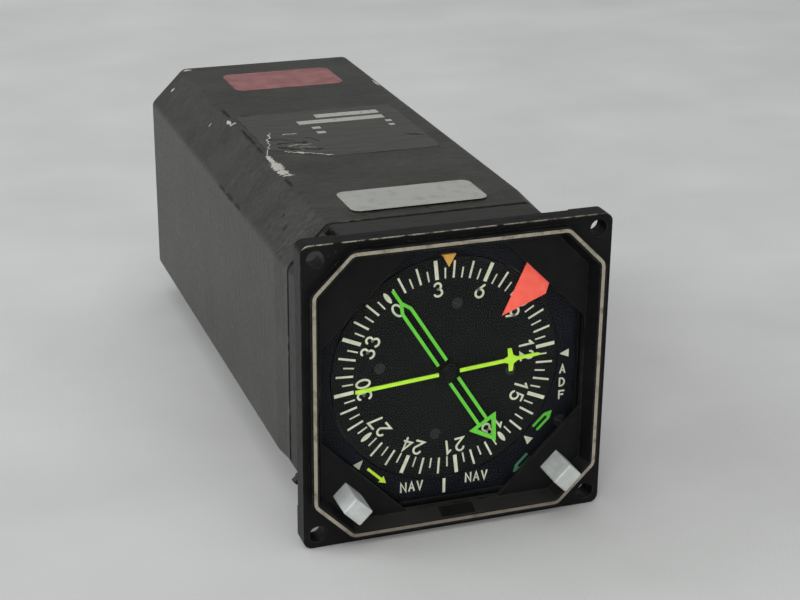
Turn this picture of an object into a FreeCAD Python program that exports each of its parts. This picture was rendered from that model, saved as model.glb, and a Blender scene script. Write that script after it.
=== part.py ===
import FreeCAD, Part
import math
import os

V = FreeCAD.Vector

# Frame: the origin is the centre of the four mounting holes, on the rear face of the flange's ears.
# +X is right as seen from the front, +Y goes into the panel, +Z is up. All lengths are millimetres.

# Flange and raised rim of the bezel casting
flangeHalf = 41.3
flangeThick = 5.6
flangeCorner = 2.3
earStep = 0.6
earSize = 10.0
holeSpacing = 75.0
holeRadius = 2.25
rimHalf = 39.5
rimLeg = 10.9
rimHeight = 2.05
rimRound = 3.0

# Cream line let into the rim's front
lineHalf = 38.95
lineLeg = 10.2
lineWidth = 0.9
lineDepth = 0.4
lineProud = 0.05

# Sloped walls, corner shelves and window
recessHalf = 37.6
recessLeg = 9.6
shelfHalf = 36.0
shelfLeg = 8.5
recessDepth = 3.9
shelfThick = 1.0
windowHalf = 35.7
windowLeg = 22.8
recessRound = 1.0
windowRound = 0.8

# Neck behind the flange, and the can that slides up to it
neckHalf = 38.3
neckLeg = 10.7
neckLength = 15.5
neckWall = 1.5
sealThick = 1.5
sealInset = 0.7
canHalf = 38.9
canRound = 3.0
canLip = 2.5
canSwage = 10.0
canWall = 1.2
canLength = 162.3
rearRound = 2.0

# Small screws in the neck's corners, each near the clockwise end of its chamfer
neckScrewBearings = (45, 135, 225, 315)
neckScrewAhead = 5.5
neckScrewAside = 6.5
neckScrewSkirt = 1.2
neckScrewSkirtThick = 0.7
neckScrewHead = 1.0
neckScrewHeight = 2.3
neckScrewThrough = 0.5

# Glass and what holds it; the frames at its front and rear open wider on the chamfers than the window
glassHalf = 36.6
glassLeg = 20.6
frameOpenLeg = 20.2
gasketThick = 0.4
glassThick = 1.6
retainerThick = 1.0
sideGap = 0.2

# Card and mask
cardRadius = 31.2
cardGap = 0.4
cardFront = 2.9
cardThick = 1.2
cardBore = 2.6
cardScrewCircle = 18.35
cardScrewTurn = 8.5
cardHeadRadius = 1.5
cardHeadDepth = 0.8
cardShankRadius = 0.8
slotWidth = 0.5
slotDepth = 0.4
slotTurn = 30
hubDiscRadius = 21.0
hubDiscThick = 1.5
maskRound = 1.2
maskHeadRadius = 1.8
maskHeadDepth = 0.6
maskScrewReach = 3.0

# Concentric shafts and their running clearance
running = 0.04
cardSleeveRadius = 3.5
pointerSleeveRadius = 2.0
innerShaftRadius = 1.0
synchroShaftRadius = 1.5

# Bearing pointers, each with its bearing in degrees clockwise from the top
pointerThick = 0.4
barWidth = 0.95
singleBearing = 85.5
singleTail = 25.5
singleTip = 25.6
singleInner = 2.9
singleWingAt = 17.0
singleWingSpan = 3.2
singleWingChord = 1.0
singleHubRadius = 2.4
singleHubFront = -0.35
singleHubThick = 1.3
singleFront = 0.45
doubleBearing = 147.7
doubleTail = 28.6
doubleShoulder = 21.7
doubleOffset = 1.3
doubleBarWidth = 0.85
doubleInner = 3.1
doubleHeadBase = 18.7
doubleHeadSpan = 4.3
doubleTip = 26.0
doubleHubRadius = 3.0
doubleHubThick = 1.3
hubGap = 0.15

# Warning flag, in the plane between the double pointer and the card
flagFront = 2.0
flagThick = 0.25
flagTip = (14.9, 13.45)
flagLeft = (21.65, 27.85)
flagRight = (26.9, 18.1)
flagShoulder = (28.1, 22.0)
flagPivot = (26.0, 28.75)
flagShaftRadius = 0.8
flagBossRadius = 1.5
meterRadius = 4.8

# Orange top index
indexHalfWidth = 1.8
indexTop = 32.0
indexTip = 28.6
indexFoot = 0.35
indexThick = 0.4
indexGap = 0.35

# Push buttons, square to the corner diagonals
buttonSpan = 6.3
buttonDepth = 5.0
buttonCentre = 40.9
buttonFront = -12.9
buttonRear = -2.9
buttonTravel = 1.8
buttonRound = 0.5
buttonGap = 0.15
stemRadius = 1.2
stemEnd = 5.0
switchSpan = 7.0
switchDepth = 5.6
springRadius = 1.9
springWire = 0.4
springTurns = 4
springSides = 8

# Blank plate on the lower sloped wall
plateCentreX = 0.5
plateHalfWidth = 4.6
plateHeight = 3.2
plateThick = 0.25

# Mechanism plates and pillars
bossRadius = 2.4
bossX = 23.0
bossZ = 34.9
screwRadius = 1.0
plateGap = 0.8
plateLeg = 11.0
plateRound = 1.0
frontPlateAt = 12.0
frontPlateThick = 3.0
frontPlateExtra = 0.3
pilotDepth = 6.0
plateScrewReach = 5.0
plateScrewHead = 1.8
plateScrewHeadThick = 1.2
middlePlateAt = 24.0
middlePlateThick = 3.0
rearPlateAt = 36.0
rearPlateThick = 2.5
tailPlateAt = 164.0
tailPlateThick = 2.0
pillarMargin = 3.0
pillarZ = 19.6
pillarRadius = 1.9
bearingRadius = 5.5
sleeveBearingRadius = 4.5

# Gears
gearModule = 0.6
gearFace = 2.0
cardTeeth = 72
pinionTeeth = 12
synchroTeeth = 40
cardGearAt = 7.0
headingGearAt = 18.0
pointerGearAt = 31.0
gearBossRadius = 5.4
gearBossThick = 1.4
webHoleRadius = 4.2
webHoleCircle = 13.0
webHoles = 6
centreAllowance = 0.05

# Servo and synchros
servoRadius = 8.0
servoFlangeRadius = 10.0
servoFlangeThick = 1.8
servoEnd = 58.0
synchroRadius = 9.5
coaxialRadius = 11.0
synchroEnd = 77.0
synchroLip = 0.8
coaxialLip = 1.2
bodyCapLength = 4.0
bodyCapStep = 0.6
shaftReach = 20.0
bodyGap = 0.3

# Boards, transformer and rear connector
boardThick = 1.6
boardHalfHeight = 24.0
boardStart = 86.0
boardEnd = 160.0
packageSize = (3.0, 12.0, 7.0)
capacitorRadius = 3.6
capacitorHeight = 6.0
componentMargin = 10.0
componentStep = 20.0
componentAside = 12.0
coreSize = 26.0
coreLength = 22.0
coreLimb = 5.0
coreBack = 4.0
windingSize = 32.0
windingLength = 13.0
windingRound = 2.0
connectorFlange = 14.0
connectorFlangeThick = 2.0
connectorRadius = 10.0
connectorBore = 8.6
connectorReach = 9.0
connectorInset = 5.0
insertFront = 4.0
pinRadius = 0.5
pinCircles = ((0.0, 1), (2.8, 6), (5.9, 12))
caseScrewHead = 2.2
caseScrewHeadThick = 1.3
caseScrewReach = 5.0
connectorScrewMargin = 2.8
connectorScrewHead = 1.7
connectorScrewHeadThick = 1.1

# Lamps and annunciator lights
lampBearings = (306, 318)
lampRadius = 1.6
lampLength = 2.4
lampDome = 0.6
annunciatorLamp = 1.2
ringThick = 1.2
lightThick = 0.5
arrowShaft = 0.75
arrowHeadHalf = 1.1
arrowHeadLength = 2.0
doubleArrowHalf = 1.2

# Arrow lights, each from the middle of its tail to its tip
yellowArrow = ((-21.4, -25.4), (-16.3, -30.4))
greenArrow = ((25.75, -20.9), (30.55, -16.2))
dimArrow = ((24.4, -28.7), (19.85, -33.2))

# Labels on the case's top: centre along X, front edge, rear edge and half width
labelThick = 0.12
labelRound = 3.0
silverLabel = (0.0, 21.8, 36.8, 18.7)
darkLabel = (-1.5, 69.0, 115.6, 24.5)
redLabel = (0.0, 145.0, 164.8, 17.4)

# Plates and pillars keep inside the neck
plateHalf = neckHalf - neckWall - plateGap
pillarX = plateHalf - pillarMargin

# Places along Y that follow from the sizes above
flangeFront = -flangeThick
rimFront = flangeFront - rimHeight
shelfFront = rimFront + recessDepth
shelfRear = shelfFront + shelfThick
glassFront = shelfRear + gasketThick
glassRear = glassFront + glassThick
retainerRear = glassRear + retainerThick
cardRear = cardFront + cardThick
doubleHubFront = singleHubFront + singleHubThick + hubGap
doubleFront = doubleHubFront + hubGap
frontPlateRear = frontPlateAt + frontPlateThick
middlePlateRear = middlePlateAt + middlePlateThick
rearPlateRear = rearPlateAt + rearPlateThick
tailPlateRear = tailPlateAt + tailPlateThick
canFront = neckLength + sealThick
canRear = canFront + canLength
canInside = canRear - canWall

# Distances between the gear shafts
servoDistance = gearModule * (cardTeeth + pinionTeeth) / 2 + centreAllowance
synchroDistance = gearModule * synchroTeeth + centreAllowance


def onCircle(radius, bearing):
    """Gives the point at a radius and a bearing, clockwise from the top."""
    angle = math.radians(bearing)
    return (radius * math.sin(angle), radius * math.cos(angle))


servoAt = onCircle(servoDistance, 225)
headingSynchroAt = onCircle(synchroDistance, 315)
pointerSynchroAt = onCircle(synchroDistance, 135)
bossPlaces = [(sx * bossX, sz * bossZ) for sx in (-1, 1) for sz in (-1, 1)]
pillarPlaces = [(sx * pillarX, sz * pillarZ) for sx in (-1, 1) for sz in (-1, 1)]
buttonPlaces = {"left": onCircle(buttonCentre, 225), "right": onCircle(buttonCentre, 135)}


# Shape helpers

def prism(points, y0, y1):
    """Extrudes a closed outline of (x, z) points from y0 to y1."""
    corners = [V(x, y0, z) for x, z in points]
    face = Part.Face(Part.makePolygon(corners + corners[:1]))
    return face.extrude(V(0, y1 - y0, 0))


def octagon(half, leg):
    """Outlines a square whose corners are cut by a leg."""
    a, b = half, half - leg
    return [(b, a), (a, b), (a, -b), (b, -a), (-b, -a), (-a, -b), (-a, b), (-b, a)]


def inset(half, leg, by):
    """Outlines the same octagon moved inwards all round."""
    return octagon(half - by, leg - by * (2 - math.sqrt(2)))


def roundedWire(points, radius, y):
    """Makes a wire at depth y through (x, z) points, with each corner rounded."""
    edges = []
    starts = []
    ends = []
    mids = []
    count = len(points)
    for i in range(count):
        before, corner, after = (V(*p, 0) for p in (points[i - 1], points[i], points[(i + 1) % count]))
        into = (before - corner).normalize()
        out = (after - corner).normalize()
        opening = into.getAngle(out)
        setback = radius / math.tan(opening / 2)
        middle = (into + out).normalize() * (radius / math.sin(opening / 2) - radius)
        starts.append(corner + into * setback)
        ends.append(corner + out * setback)
        mids.append(corner + middle)
    for i in range(count):
        place = [V(p.x, y, p.y) for p in (starts[i], mids[i], ends[i], starts[(i + 1) % count])]
        edges.append(Part.Arc(place[0], place[1], place[2]).toShape())
        edges.append(Part.LineSegment(place[2], place[3]).toShape())
    return Part.Wire(edges)


def roundedPrism(points, radius, y0, y1):
    """Extrudes an outline with rounded corners from y0 to y1."""
    return Part.Face(roundedWire(points, radius, y0)).extrude(V(0, y1 - y0, 0))


def roundedLoft(first, second, radius, y0, y1):
    """Lofts one rounded outline into another between two depths."""
    wires = [roundedWire(first, radius, y0), roundedWire(second, radius, y1)]
    return Part.makeLoft(wires, True, True)


def disc(radius, y0, y1, at=(0.0, 0.0)):
    """Makes a cylinder along Y."""
    return Part.makeCylinder(radius, y1 - y0, V(at[0], y0, at[1]), V(0, 1, 0))


def ring(outer, inner, y0, y1, at=(0.0, 0.0)):
    """Makes a tube along Y."""
    return disc(outer, y0, y1, at).cut(disc(inner, y0, y1, at))


def block(halfX, halfZ, y0, y1, at=(0.0, 0.0), turn=0.0):
    """Makes a box along Y, turned clockwise about its own middle."""
    solid = Part.makeBox(2 * halfX, y1 - y0, 2 * halfZ, V(at[0] - halfX, y0, at[1] - halfZ))
    solid.rotate(V(at[0], 0, at[1]), V(0, 1, 0), turn)
    return solid


def turned(profile, at=(0.0, 0.0)):
    """Revolves a closed (radius, y) outline about a line along Y."""
    corners = [V(at[0] + r, y, at[1]) for r, y in profile]
    face = Part.Face(Part.makePolygon(corners + corners[:1]))
    return face.revolve(V(at[0], 0, at[1]), V(0, 1, 0), 360)


def fused(shapes):
    """Joins solids into one."""
    return shapes[0].multiFuse(shapes[1:]).removeSplitter()


def cutAll(shape, tools):
    """Takes every tool away from a shape."""
    return shape.cut(Part.makeCompound(tools))


def bearingFrame(points, bearing):
    """Turns (across, along) points so that along lies on a bearing."""
    angle = math.radians(bearing)
    sin, cos = math.sin(angle), math.cos(angle)
    return [(across * cos + along * sin, along * cos - across * sin) for across, along in points]


def gear(teeth, at, y0, toothBearing, bore):
    """Makes a spur gear with one tooth centred on a bearing."""
    pitch = gearModule * teeth / 2
    tip = pitch + 0.9 * gearModule
    root = pitch - 1.15 * gearModule
    step = 360 / teeth
    outline = []
    for i in range(round(teeth)):
        centre = toothBearing + i * step
        for radius, share in ((root, -0.34), (tip, -0.13), (tip, 0.13), (root, 0.34)):
            x, z = onCircle(radius, centre + share * step)
            outline.append((at[0] + x, at[1] + z))
    return prism(outline, y0, y0 + gearFace).cut(disc(bore, y0, y0 + gearFace, at))


def slottedHead(radius, y0, y1, at, slotFrom, slotTo):
    """Makes a round screw head with a slot between two depths."""
    slot = block(radius + 0.1, slotWidth / 2, slotFrom, slotTo, at, slotTurn)
    return disc(radius, y0, y1, at).cut(slot)


# Bezel and front

def flangePlate():
    """Makes the flange: thinner along its sides, full thickness at the four ears."""
    square = [(-flangeHalf, -flangeHalf), (flangeHalf, -flangeHalf),
              (flangeHalf, flangeHalf), (-flangeHalf, flangeHalf)]
    plate = roundedPrism(square, flangeCorner, flangeFront, 0)
    inner = flangeHalf - earSize
    sides = [block(inner, flangeHalf + 1, -earStep, 0), block(flangeHalf + 1, inner, -earStep, 0)]
    return cutAll(plate, sides)


def buttonPrism(name, spanX, spanZ, y0, y1):
    """Makes a block square to a button's corner diagonal."""
    turn = 45 if name == "left" else -45
    return block(spanX / 2, spanZ / 2, y0, y1, buttonPlaces[name], turn)


def bezelCasting():
    """Makes the flange, rim, sloped recess, shelves, window, neck and inner bosses in one casting."""
    rim = roundedPrism(octagon(rimHalf, rimLeg), rimRound, rimFront, flangeFront)
    neck = roundedPrism(octagon(neckHalf, neckLeg), canRound, -earStep, neckLength)
    body = fused([flangePlate(), rim, neck])
    recess = roundedLoft(octagon(recessHalf, recessLeg), octagon(shelfHalf, shelfLeg),
                         recessRound, rimFront, shelfFront)
    window = roundedPrism(octagon(windowHalf, windowLeg), windowRound, shelfFront, shelfRear)
    neckInside = inset(neckHalf, neckLeg, neckWall)
    cavity = roundedPrism(neckInside, canRound - neckWall, shelfRear, neckLength)
    holes = [disc(holeRadius, flangeFront, 0, (sx * holeSpacing / 2, sz * holeSpacing / 2))
             for sx in (-1, 1) for sz in (-1, 1)]
    slots = [buttonPrism(name, buttonSpan + 2 * buttonGap, buttonDepth + 2 * buttonGap,
                         shelfFront, shelfRear) for name in buttonPlaces]
    groove = lineRing(0)
    body = cutAll(body, [recess, window, cavity, groove] + holes + slots)
    bosses = [disc(bossRadius, shelfRear, frontPlateAt, at) for at in bossPlaces]
    body = fused([body] + bosses)
    pilots = [disc(screwRadius, frontPlateAt - pilotDepth, frontPlateAt, at) for at in bossPlaces]
    taps = [neckScrewShank(bearing) for bearing in neckScrewBearings]
    return cutAll(body, pilots + taps)


def lineRing(proud):
    """Makes the octagonal line in the rim's front, standing proud by a little."""
    outer = octagon(lineHalf, lineLeg)
    inner = inset(lineHalf, lineLeg, lineWidth)
    y0, y1 = rimFront - proud, rimFront + lineDepth
    return roundedPrism(outer, rimRound, y0, y1).cut(roundedPrism(inner, rimRound - lineWidth, y0, y1))


def blankPlate():
    """Makes the small bare plate that lies on the lower sloped wall."""
    wallTop = V(plateCentreX, rimFront, -recessHalf)
    wallFoot = V(plateCentreX, shelfFront, -shelfHalf)
    slope = (wallFoot - wallTop).normalize()
    normal = V(0, -slope.z, slope.y)
    middle = (wallTop + wallFoot) * 0.5
    plate = Part.makeBox(2 * plateHalfWidth, plateHeight, plateThick,
                         V(-plateHalfWidth, -plateHeight / 2, 0))
    axes = FreeCAD.Matrix(1, slope.x, normal.x, middle.x, 0, slope.y, normal.y, middle.y,
                          0, slope.z, normal.z, middle.z, 0, 0, 0, 1)
    return plate.transformGeometry(axes)


def octagonFrame(half, leg, y0, y1):
    """Makes an octagonal frame with an opening that clears the window."""
    outer = roundedPrism(octagon(half, leg), windowRound, y0, y1)
    return outer.cut(roundedPrism(octagon(windowHalf, frameOpenLeg), windowRound, y0, y1))


def coverGlass():
    """Makes the flat glass behind the shelf."""
    return roundedPrism(octagon(glassHalf, glassLeg), windowRound, glassFront, glassRear)


def neckScrewAxis(bearing):
    """Gives the outward direction and the place on the neck's chamfer for a case screw."""
    x, z = onCircle(1.0, bearing)
    reach = (2 * neckHalf - neckLeg) / math.sqrt(2)
    place = V(x * reach + z * neckScrewAside, neckLength - neckScrewAhead, z * reach - x * neckScrewAside)
    return V(x, 0, z), place


def neckScrewShank(bearing):
    """Makes the shank of a screw that goes through the neck's chamfer."""
    out, place = neckScrewAxis(bearing)
    length = neckWall + neckScrewThrough
    return Part.makeCylinder(screwRadius, length, place - out * length, out)


def neckScrews():
    """Makes the four small screws in the neck's corners, each with a skirt below its head."""
    screws = []
    for bearing in neckScrewBearings:
        out, place = neckScrewAxis(bearing)
        skirt = Part.makeCylinder(neckScrewSkirt, neckScrewSkirtThick, place, out)
        head = Part.makeCylinder(neckScrewHead, neckScrewHeight, place, out)
        reach = neckScrewHead + sideGap
        slot = Part.makeBox(2 * reach, slotWidth, slotDepth, V(-reach, -slotWidth / 2, 0))
        turn = FreeCAD.Rotation(V(0, 0, 1), out)
        slot.Placement = FreeCAD.Placement(place + out * (neckScrewHeight - slotDepth), turn)
        screws.append(fused([skirt, head, neckScrewShank(bearing)]).cut(slot))
    return Part.makeCompound(screws)


# Card, mask and lights

def cardScrewPlaces():
    """Places the four card screws on their circle."""
    return [onCircle(cardScrewCircle, cardScrewTurn + 90 * i) for i in range(4)]


def compassCard():
    """Makes the card disc with its bore and countersunk screw holes."""
    card = disc(cardRadius, cardFront, cardRear)
    tools = [disc(cardBore, cardFront, cardRear)]
    for at in cardScrewPlaces():
        tools.append(disc(cardHeadRadius, cardFront, cardFront + cardHeadDepth, at))
        tools.append(disc(cardShankRadius, cardFront, cardRear, at))
    return cutAll(card, tools)


def cardScrews():
    """Makes the four slotted screws that hold the card to its hub."""
    screws = []
    for at in cardScrewPlaces():
        head = slottedHead(cardHeadRadius, cardFront, cardFront + cardHeadDepth, at,
                           cardFront, cardFront + slotDepth)
        shank = disc(cardShankRadius, cardFront + cardHeadDepth, cardRear + hubDiscThick, at)
        screws.append(head.fuse(shank))
    return Part.makeCompound(screws)


def cardHub():
    """Makes the card's carrier disc and its hollow shaft."""
    discRear = cardRear + hubDiscThick
    solid = fused([disc(hubDiscRadius, cardRear, discRear),
                   disc(cardSleeveRadius, cardRear, middlePlateRear + 1.0)])
    tools = [disc(pointerSleeveRadius + running, cardRear, middlePlateRear + 1.0)]
    tools += [disc(cardShankRadius, cardRear, discRear, at) for at in cardScrewPlaces()]
    return cutAll(solid, tools)


def cardGear():
    """Makes the large gear on the card's hollow shaft, with lightening holes."""
    wheel = gear(cardTeeth, (0.0, 0.0), cardGearAt, 225, cardSleeveRadius)
    boss = ring(gearBossRadius, cardSleeveRadius, cardRear + hubDiscThick, cardGearAt)
    places = [onCircle(webHoleCircle, 360 / webHoles * i) for i in range(round(webHoles))]
    holes = [disc(webHoleRadius, cardGearAt, cardGearAt + gearFace, at) for at in places]
    return cutAll(fused([wheel, boss]), holes)


def bossedGear(at, y0, toothBearing, bore):
    """Makes a synchro gear with a boss behind it."""
    wheel = gear(synchroTeeth, at, y0, toothBearing, bore)
    boss = ring(gearBossRadius, bore, y0 + gearFace, y0 + gearFace + gearBossThick, at)
    return fused([wheel, boss])


def halfStep(teeth):
    """Gives the angle from a tooth's middle to the next gap's middle."""
    return 180 / teeth


def gearShaft(at, y0, y1):
    """Makes a driven shaft along Y."""
    return disc(synchroShaftRadius, y0, y1, at)


def servoPinion():
    """Makes the pinion that turns the card, in one piece with its shaft."""
    gapBearing = 45 + halfStep(pinionTeeth)
    wheel = gear(pinionTeeth, servoAt, cardGearAt, gapBearing, synchroShaftRadius)
    shaft = gearShaft(servoAt, cardGearAt - 0.5, frontPlateRear + shaftReach)
    return fused([wheel, shaft])


def headingSynchroGear():
    """Makes the gear and shaft through which the heading synchro senses the card."""
    gapBearing = 135 + halfStep(synchroTeeth)
    shaft = gearShaft(headingSynchroAt, headingGearAt - 0.5, rearPlateRear + shaftReach)
    return fused([bossedGear(headingSynchroAt, headingGearAt, gapBearing, synchroShaftRadius), shaft])


def pointerSynchroGear():
    """Makes the gear and shaft that turn the double-bar pointer's hollow shaft."""
    gapBearing = 315 + halfStep(synchroTeeth)
    shaft = gearShaft(pointerSynchroAt, pointerGearAt - 0.5, rearPlateRear + shaftReach)
    return fused([bossedGear(pointerSynchroAt, pointerGearAt, gapBearing, synchroShaftRadius), shaft])


def dialMask():
    """Makes the octagonal plate round the card, with holes for stems, pillars, bosses and lights."""
    half = neckHalf - neckWall - sideGap
    plate = roundedPrism(octagon(half, neckLeg), maskRound, cardFront, cardRear)
    tools = [disc(cardRadius + cardGap, cardFront, cardRear)]
    tools += [disc(bossRadius + sideGap, cardFront, cardRear, at) for at in bossPlaces]
    tools += [disc(stemRadius + sideGap, cardFront, cardRear, at) for at in buttonPlaces.values()]
    tools.append(disc(flagBossRadius, cardFront, cardRear, flagPivot))
    for at in pillarPlaces:
        tools.append(disc(screwRadius, cardFront, cardRear, at))
        tools.append(disc(maskHeadRadius, cardFront, cardFront + maskHeadDepth, at))
    tools += [singleArrow(yellowArrow), doubleArrow(greenArrow), doubleArrow(dimArrow)]
    return cutAll(plate, tools)


def arrowPrism(outline, place):
    """Makes a light's body from (across, along) points, laid from its tail towards its tip."""
    (x0, z0), (x1, z1) = place
    bearing = math.degrees(math.atan2(x1 - x0, z1 - z0))
    points = [(x0 + a, z0 + b) for a, b in bearingFrame(outline, bearing)]
    return prism(points, cardFront, cardFront + lightThick)


def singleArrow(place):
    """Makes the light of the single bar: a thin shaft with a wider head."""
    length = math.dist(*place)
    half, foot = arrowShaft / 2, length - arrowHeadLength
    return arrowPrism([(-half, 0), (half, 0), (half, foot), (arrowHeadHalf, foot), (0, length),
                       (-arrowHeadHalf, foot), (-half, foot)], place)


def doubleArrow(place):
    """Makes the light of the double bar: two shafts that join in one point."""
    length = math.dist(*place)
    half, foot = doubleArrowHalf, length - arrowHeadLength
    gap = half - arrowShaft
    return arrowPrism([(-half, 0), (-gap, 0), (-gap, foot - gap), (0, foot), (gap, foot - gap), (gap, 0),
                       (half, 0), (half, foot), (0, length), (-half, foot)], place)


def maskScrews():
    """Makes the four countersunk screws that hold the mask on its pillars."""
    screws = []
    for at in pillarPlaces:
        rear = cardFront + maskHeadDepth
        head = slottedHead(maskHeadRadius, cardFront, rear, at, cardFront, cardFront + slotDepth)
        screws.append(head.fuse(disc(screwRadius, rear, cardRear + maskScrewReach, at)))
    return Part.makeCompound(screws)


def topIndex():
    """Makes the orange index that points down at the card from the mask's top."""
    front = cardFront - indexGap - indexThick
    outline = [(-indexHalfWidth, indexTop), (indexHalfWidth, indexTop), (0, indexTip)]
    foot = block(indexHalfWidth, indexFoot / 2, front, cardFront, (0, indexTop - indexFoot / 2))
    return fused([prism(outline, front, front + indexThick), foot])


def lampRing():
    """Makes the printed ring behind the mask that carries the annunciator lamps."""
    outer = roundedPrism(octagon(plateHalf, neckLeg), maskRound, cardRear, cardRear + ringThick)
    tools = [disc(cardRadius + cardGap, cardRear, cardRear + ringThick)]
    tools += [disc(bossRadius + sideGap, cardRear, cardRear + ringThick, at) for at in bossPlaces]
    tools += [disc(pillarRadius + sideGap, cardRear, cardRear + ringThick, at) for at in pillarPlaces]
    tools.append(disc(flagBossRadius, cardRear, cardRear + ringThick, flagPivot))
    tools += [buttonPrism(name, switchSpan + 0.4, switchDepth + 0.4, cardRear, cardRear + ringThick)
              for name in buttonPlaces]
    return cutAll(outer, tools)


def annunciatorLamps():
    """Makes the small lamps on the ring behind the three arrows."""
    y0 = cardRear + ringThick
    middles = [((x0 + x1) / 2, (z0 + z1) / 2)
               for (x0, z0), (x1, z1) in (yellowArrow, greenArrow, dimArrow)]
    return Part.makeCompound([disc(annunciatorLamp, y0, y0 + lampLength, at) for at in middles])


def dialLamps():
    """Makes the two domed lamps that light the dial from the upper left corner."""
    places = [onCircle(buttonCentre, bearing) for bearing in lampBearings]
    lamps = []
    for at in places:
        base = disc(lampRadius, cardFront - lampLength, cardFront, at)
        lamps.append(base.makeFillet(lampDome, [base.Edges[0]]))
    return Part.makeCompound(lamps)


# Pointers

def pointerPrism(outline, bearing, y0):
    """Extrudes a pointer outline along its bearing."""
    return prism(bearingFrame(outline, bearing), y0, y0 + pointerThick)


def singlePointer():
    """Makes the single bar with its swept wings, in two lengths each side of the black hub."""
    half = barWidth / 2
    tail = [(-half, -singleTail), (half, -singleTail), (half, -singleInner), (-half, -singleInner)]
    foot = singleWingAt - singleWingChord / 2
    nose = singleWingAt + singleWingChord / 2
    span = singleWingSpan
    front = [(-half, singleInner), (-half, foot - 1.2), (-half - 0.5, foot), (-span, foot),
             (-span, nose), (-half - 0.7, nose + 0.4), (-half, nose + 1.6), (-half * 0.8, singleTip - 0.8),
             (0, singleTip), (half * 0.8, singleTip - 0.8), (half, nose + 1.6), (half + 0.7, nose + 0.4),
             (span, nose), (span, foot), (half + 0.5, foot), (half, foot - 1.2), (half, singleInner)]
    return Part.makeCompound([pointerPrism(tail, singleBearing, singleFront),
                              pointerPrism(front, singleBearing, singleFront)])


def singleHub():
    """Makes the black cap and the black root of the single-bar pointer, on the inner shaft."""
    rear = singleHubFront + singleHubThick
    cap = turned([(0, singleHubFront), (singleHubRadius * 0.7, singleHubFront),
                  (singleHubRadius, singleHubFront + 0.4), (singleHubRadius, rear), (0, rear)])
    half = barWidth / 2
    root = [(-half, -singleInner), (half, -singleInner), (half, singleInner), (-half, singleInner)]
    solid = fused([cap, pointerPrism(root, singleBearing, singleFront)])
    return solid.cut(disc(innerShaftRadius, singleHubFront + 0.5, rear))


def doubleBars(inner, outer, offset):
    """Outlines the two parallel bars between two distances along the pointer."""
    half = doubleBarWidth / 2
    return [[(side * offset - half, inner), (side * offset + half, inner),
             (side * offset + half, outer), (side * offset - half, outer)] for side in (-1, 1)]


def doublePointer():
    """Makes the double bars, the hollow triangular head and the pencil-pointed tail."""
    reach = doubleOffset + doubleBarWidth / 2
    width = doubleBarWidth
    front = doubleBars(doubleInner, doubleHeadBase + width / 2, doubleOffset)
    outline = [(-doubleHeadSpan, doubleHeadBase), (doubleHeadSpan, doubleHeadBase), (0, doubleTip)]
    inside = [(-doubleHeadSpan + 1.9, doubleHeadBase + width),
              (doubleHeadSpan - 1.9, doubleHeadBase + width), (0, doubleTip - 1.9)]
    head = pointerPrism(outline, doubleBearing, doubleFront)
    head = head.cut(pointerPrism(inside, doubleBearing, doubleFront))
    bars = [pointerPrism(bar, doubleBearing, doubleFront) for bar in front]
    forward = fused([head] + bars)
    shoulder = doubleShoulder + 2.7
    tailOuter = [(-reach, -doubleInner), (-reach, -doubleShoulder), (-width / 2, -shoulder),
                 (-width / 2, -doubleTail), (width / 2, -doubleTail), (width / 2, -shoulder),
                 (reach, -doubleShoulder), (reach, -doubleInner)]
    gap = reach - width
    tailInner = [(-gap, -doubleInner), (-gap, -doubleShoulder + 0.2), (0, -shoulder + 1.0),
                 (gap, -doubleShoulder + 0.2), (gap, -doubleInner)]
    tail = pointerPrism(tailOuter, doubleBearing, doubleFront)
    tail = tail.cut(pointerPrism(tailInner, doubleBearing, doubleFront))
    return Part.makeCompound([forward, tail])


def doubleHub():
    """Makes the black hub and black bar roots of the double pointer."""
    rear = doubleHubFront + doubleHubThick
    roots = [pointerPrism(bar, doubleBearing, doubleFront)
             for bar in doubleBars(-doubleInner, doubleInner, doubleOffset)]
    solid = fused([disc(doubleHubRadius, doubleHubFront, rear)] + roots)
    return solid.cut(disc(pointerSleeveRadius, doubleHubFront, rear))


def pointerSleeve():
    """Makes the hollow shaft of the double-bar pointer."""
    return ring(pointerSleeveRadius, innerShaftRadius + running, doubleHubFront, rearPlateRear - 0.1)


def innerShaft():
    """Makes the inner shaft from the cap to the coaxial synchro."""
    return disc(innerShaftRadius, singleHubFront + 0.5, synchroEnd + 2.0)


# Warning flag

def warningFlag():
    """Makes the red flag: a pointed vane that widens towards its pivot."""
    px, pz = flagPivot
    outline = [flagTip, flagRight, flagShoulder, (px + flagBossRadius, pz - 0.4),
               (px, pz + flagBossRadius), (px - flagBossRadius, pz), flagLeft]
    vane = prism(outline, flagFront, flagFront + flagThick)
    return vane.cut(disc(flagShaftRadius, flagFront, flagFront + flagThick, flagPivot))


def flagShaft():
    """Makes the flag's shaft with the collar that carries the vane."""
    front = flagFront - 0.4
    shaft = disc(flagShaftRadius, front, frontPlateRear + 6.0, flagPivot)
    collar = disc(flagBossRadius - 0.2, flagFront + flagThick, cardFront - 0.15, flagPivot)
    return fused([shaft, collar])


def flagMeter():
    """Makes the round meter movement that swings the flag."""
    y0, y1 = frontPlateRear, middlePlateAt - 0.3
    can = disc(meterRadius, y0, y1, flagPivot)
    return can.cut(disc(flagShaftRadius + running, y0, frontPlateRear + 6.3, flagPivot))


# Push buttons

def button(name):
    """Makes a push button: a rectangular cap with a round stem behind it."""
    cap = buttonPrism(name, buttonSpan, buttonDepth, buttonFront, buttonRear)
    edges = [e for e in cap.Edges if abs(e.CenterOfMass.y - buttonFront) < 0.01
             or abs(e.CenterOfMass.y - (buttonFront + buttonRear) / 2) < 0.01]
    cap = cap.makeFillet(buttonRound, edges)
    return fused([cap, disc(stemRadius, buttonRear, stemEnd, buttonPlaces[name])])


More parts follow.
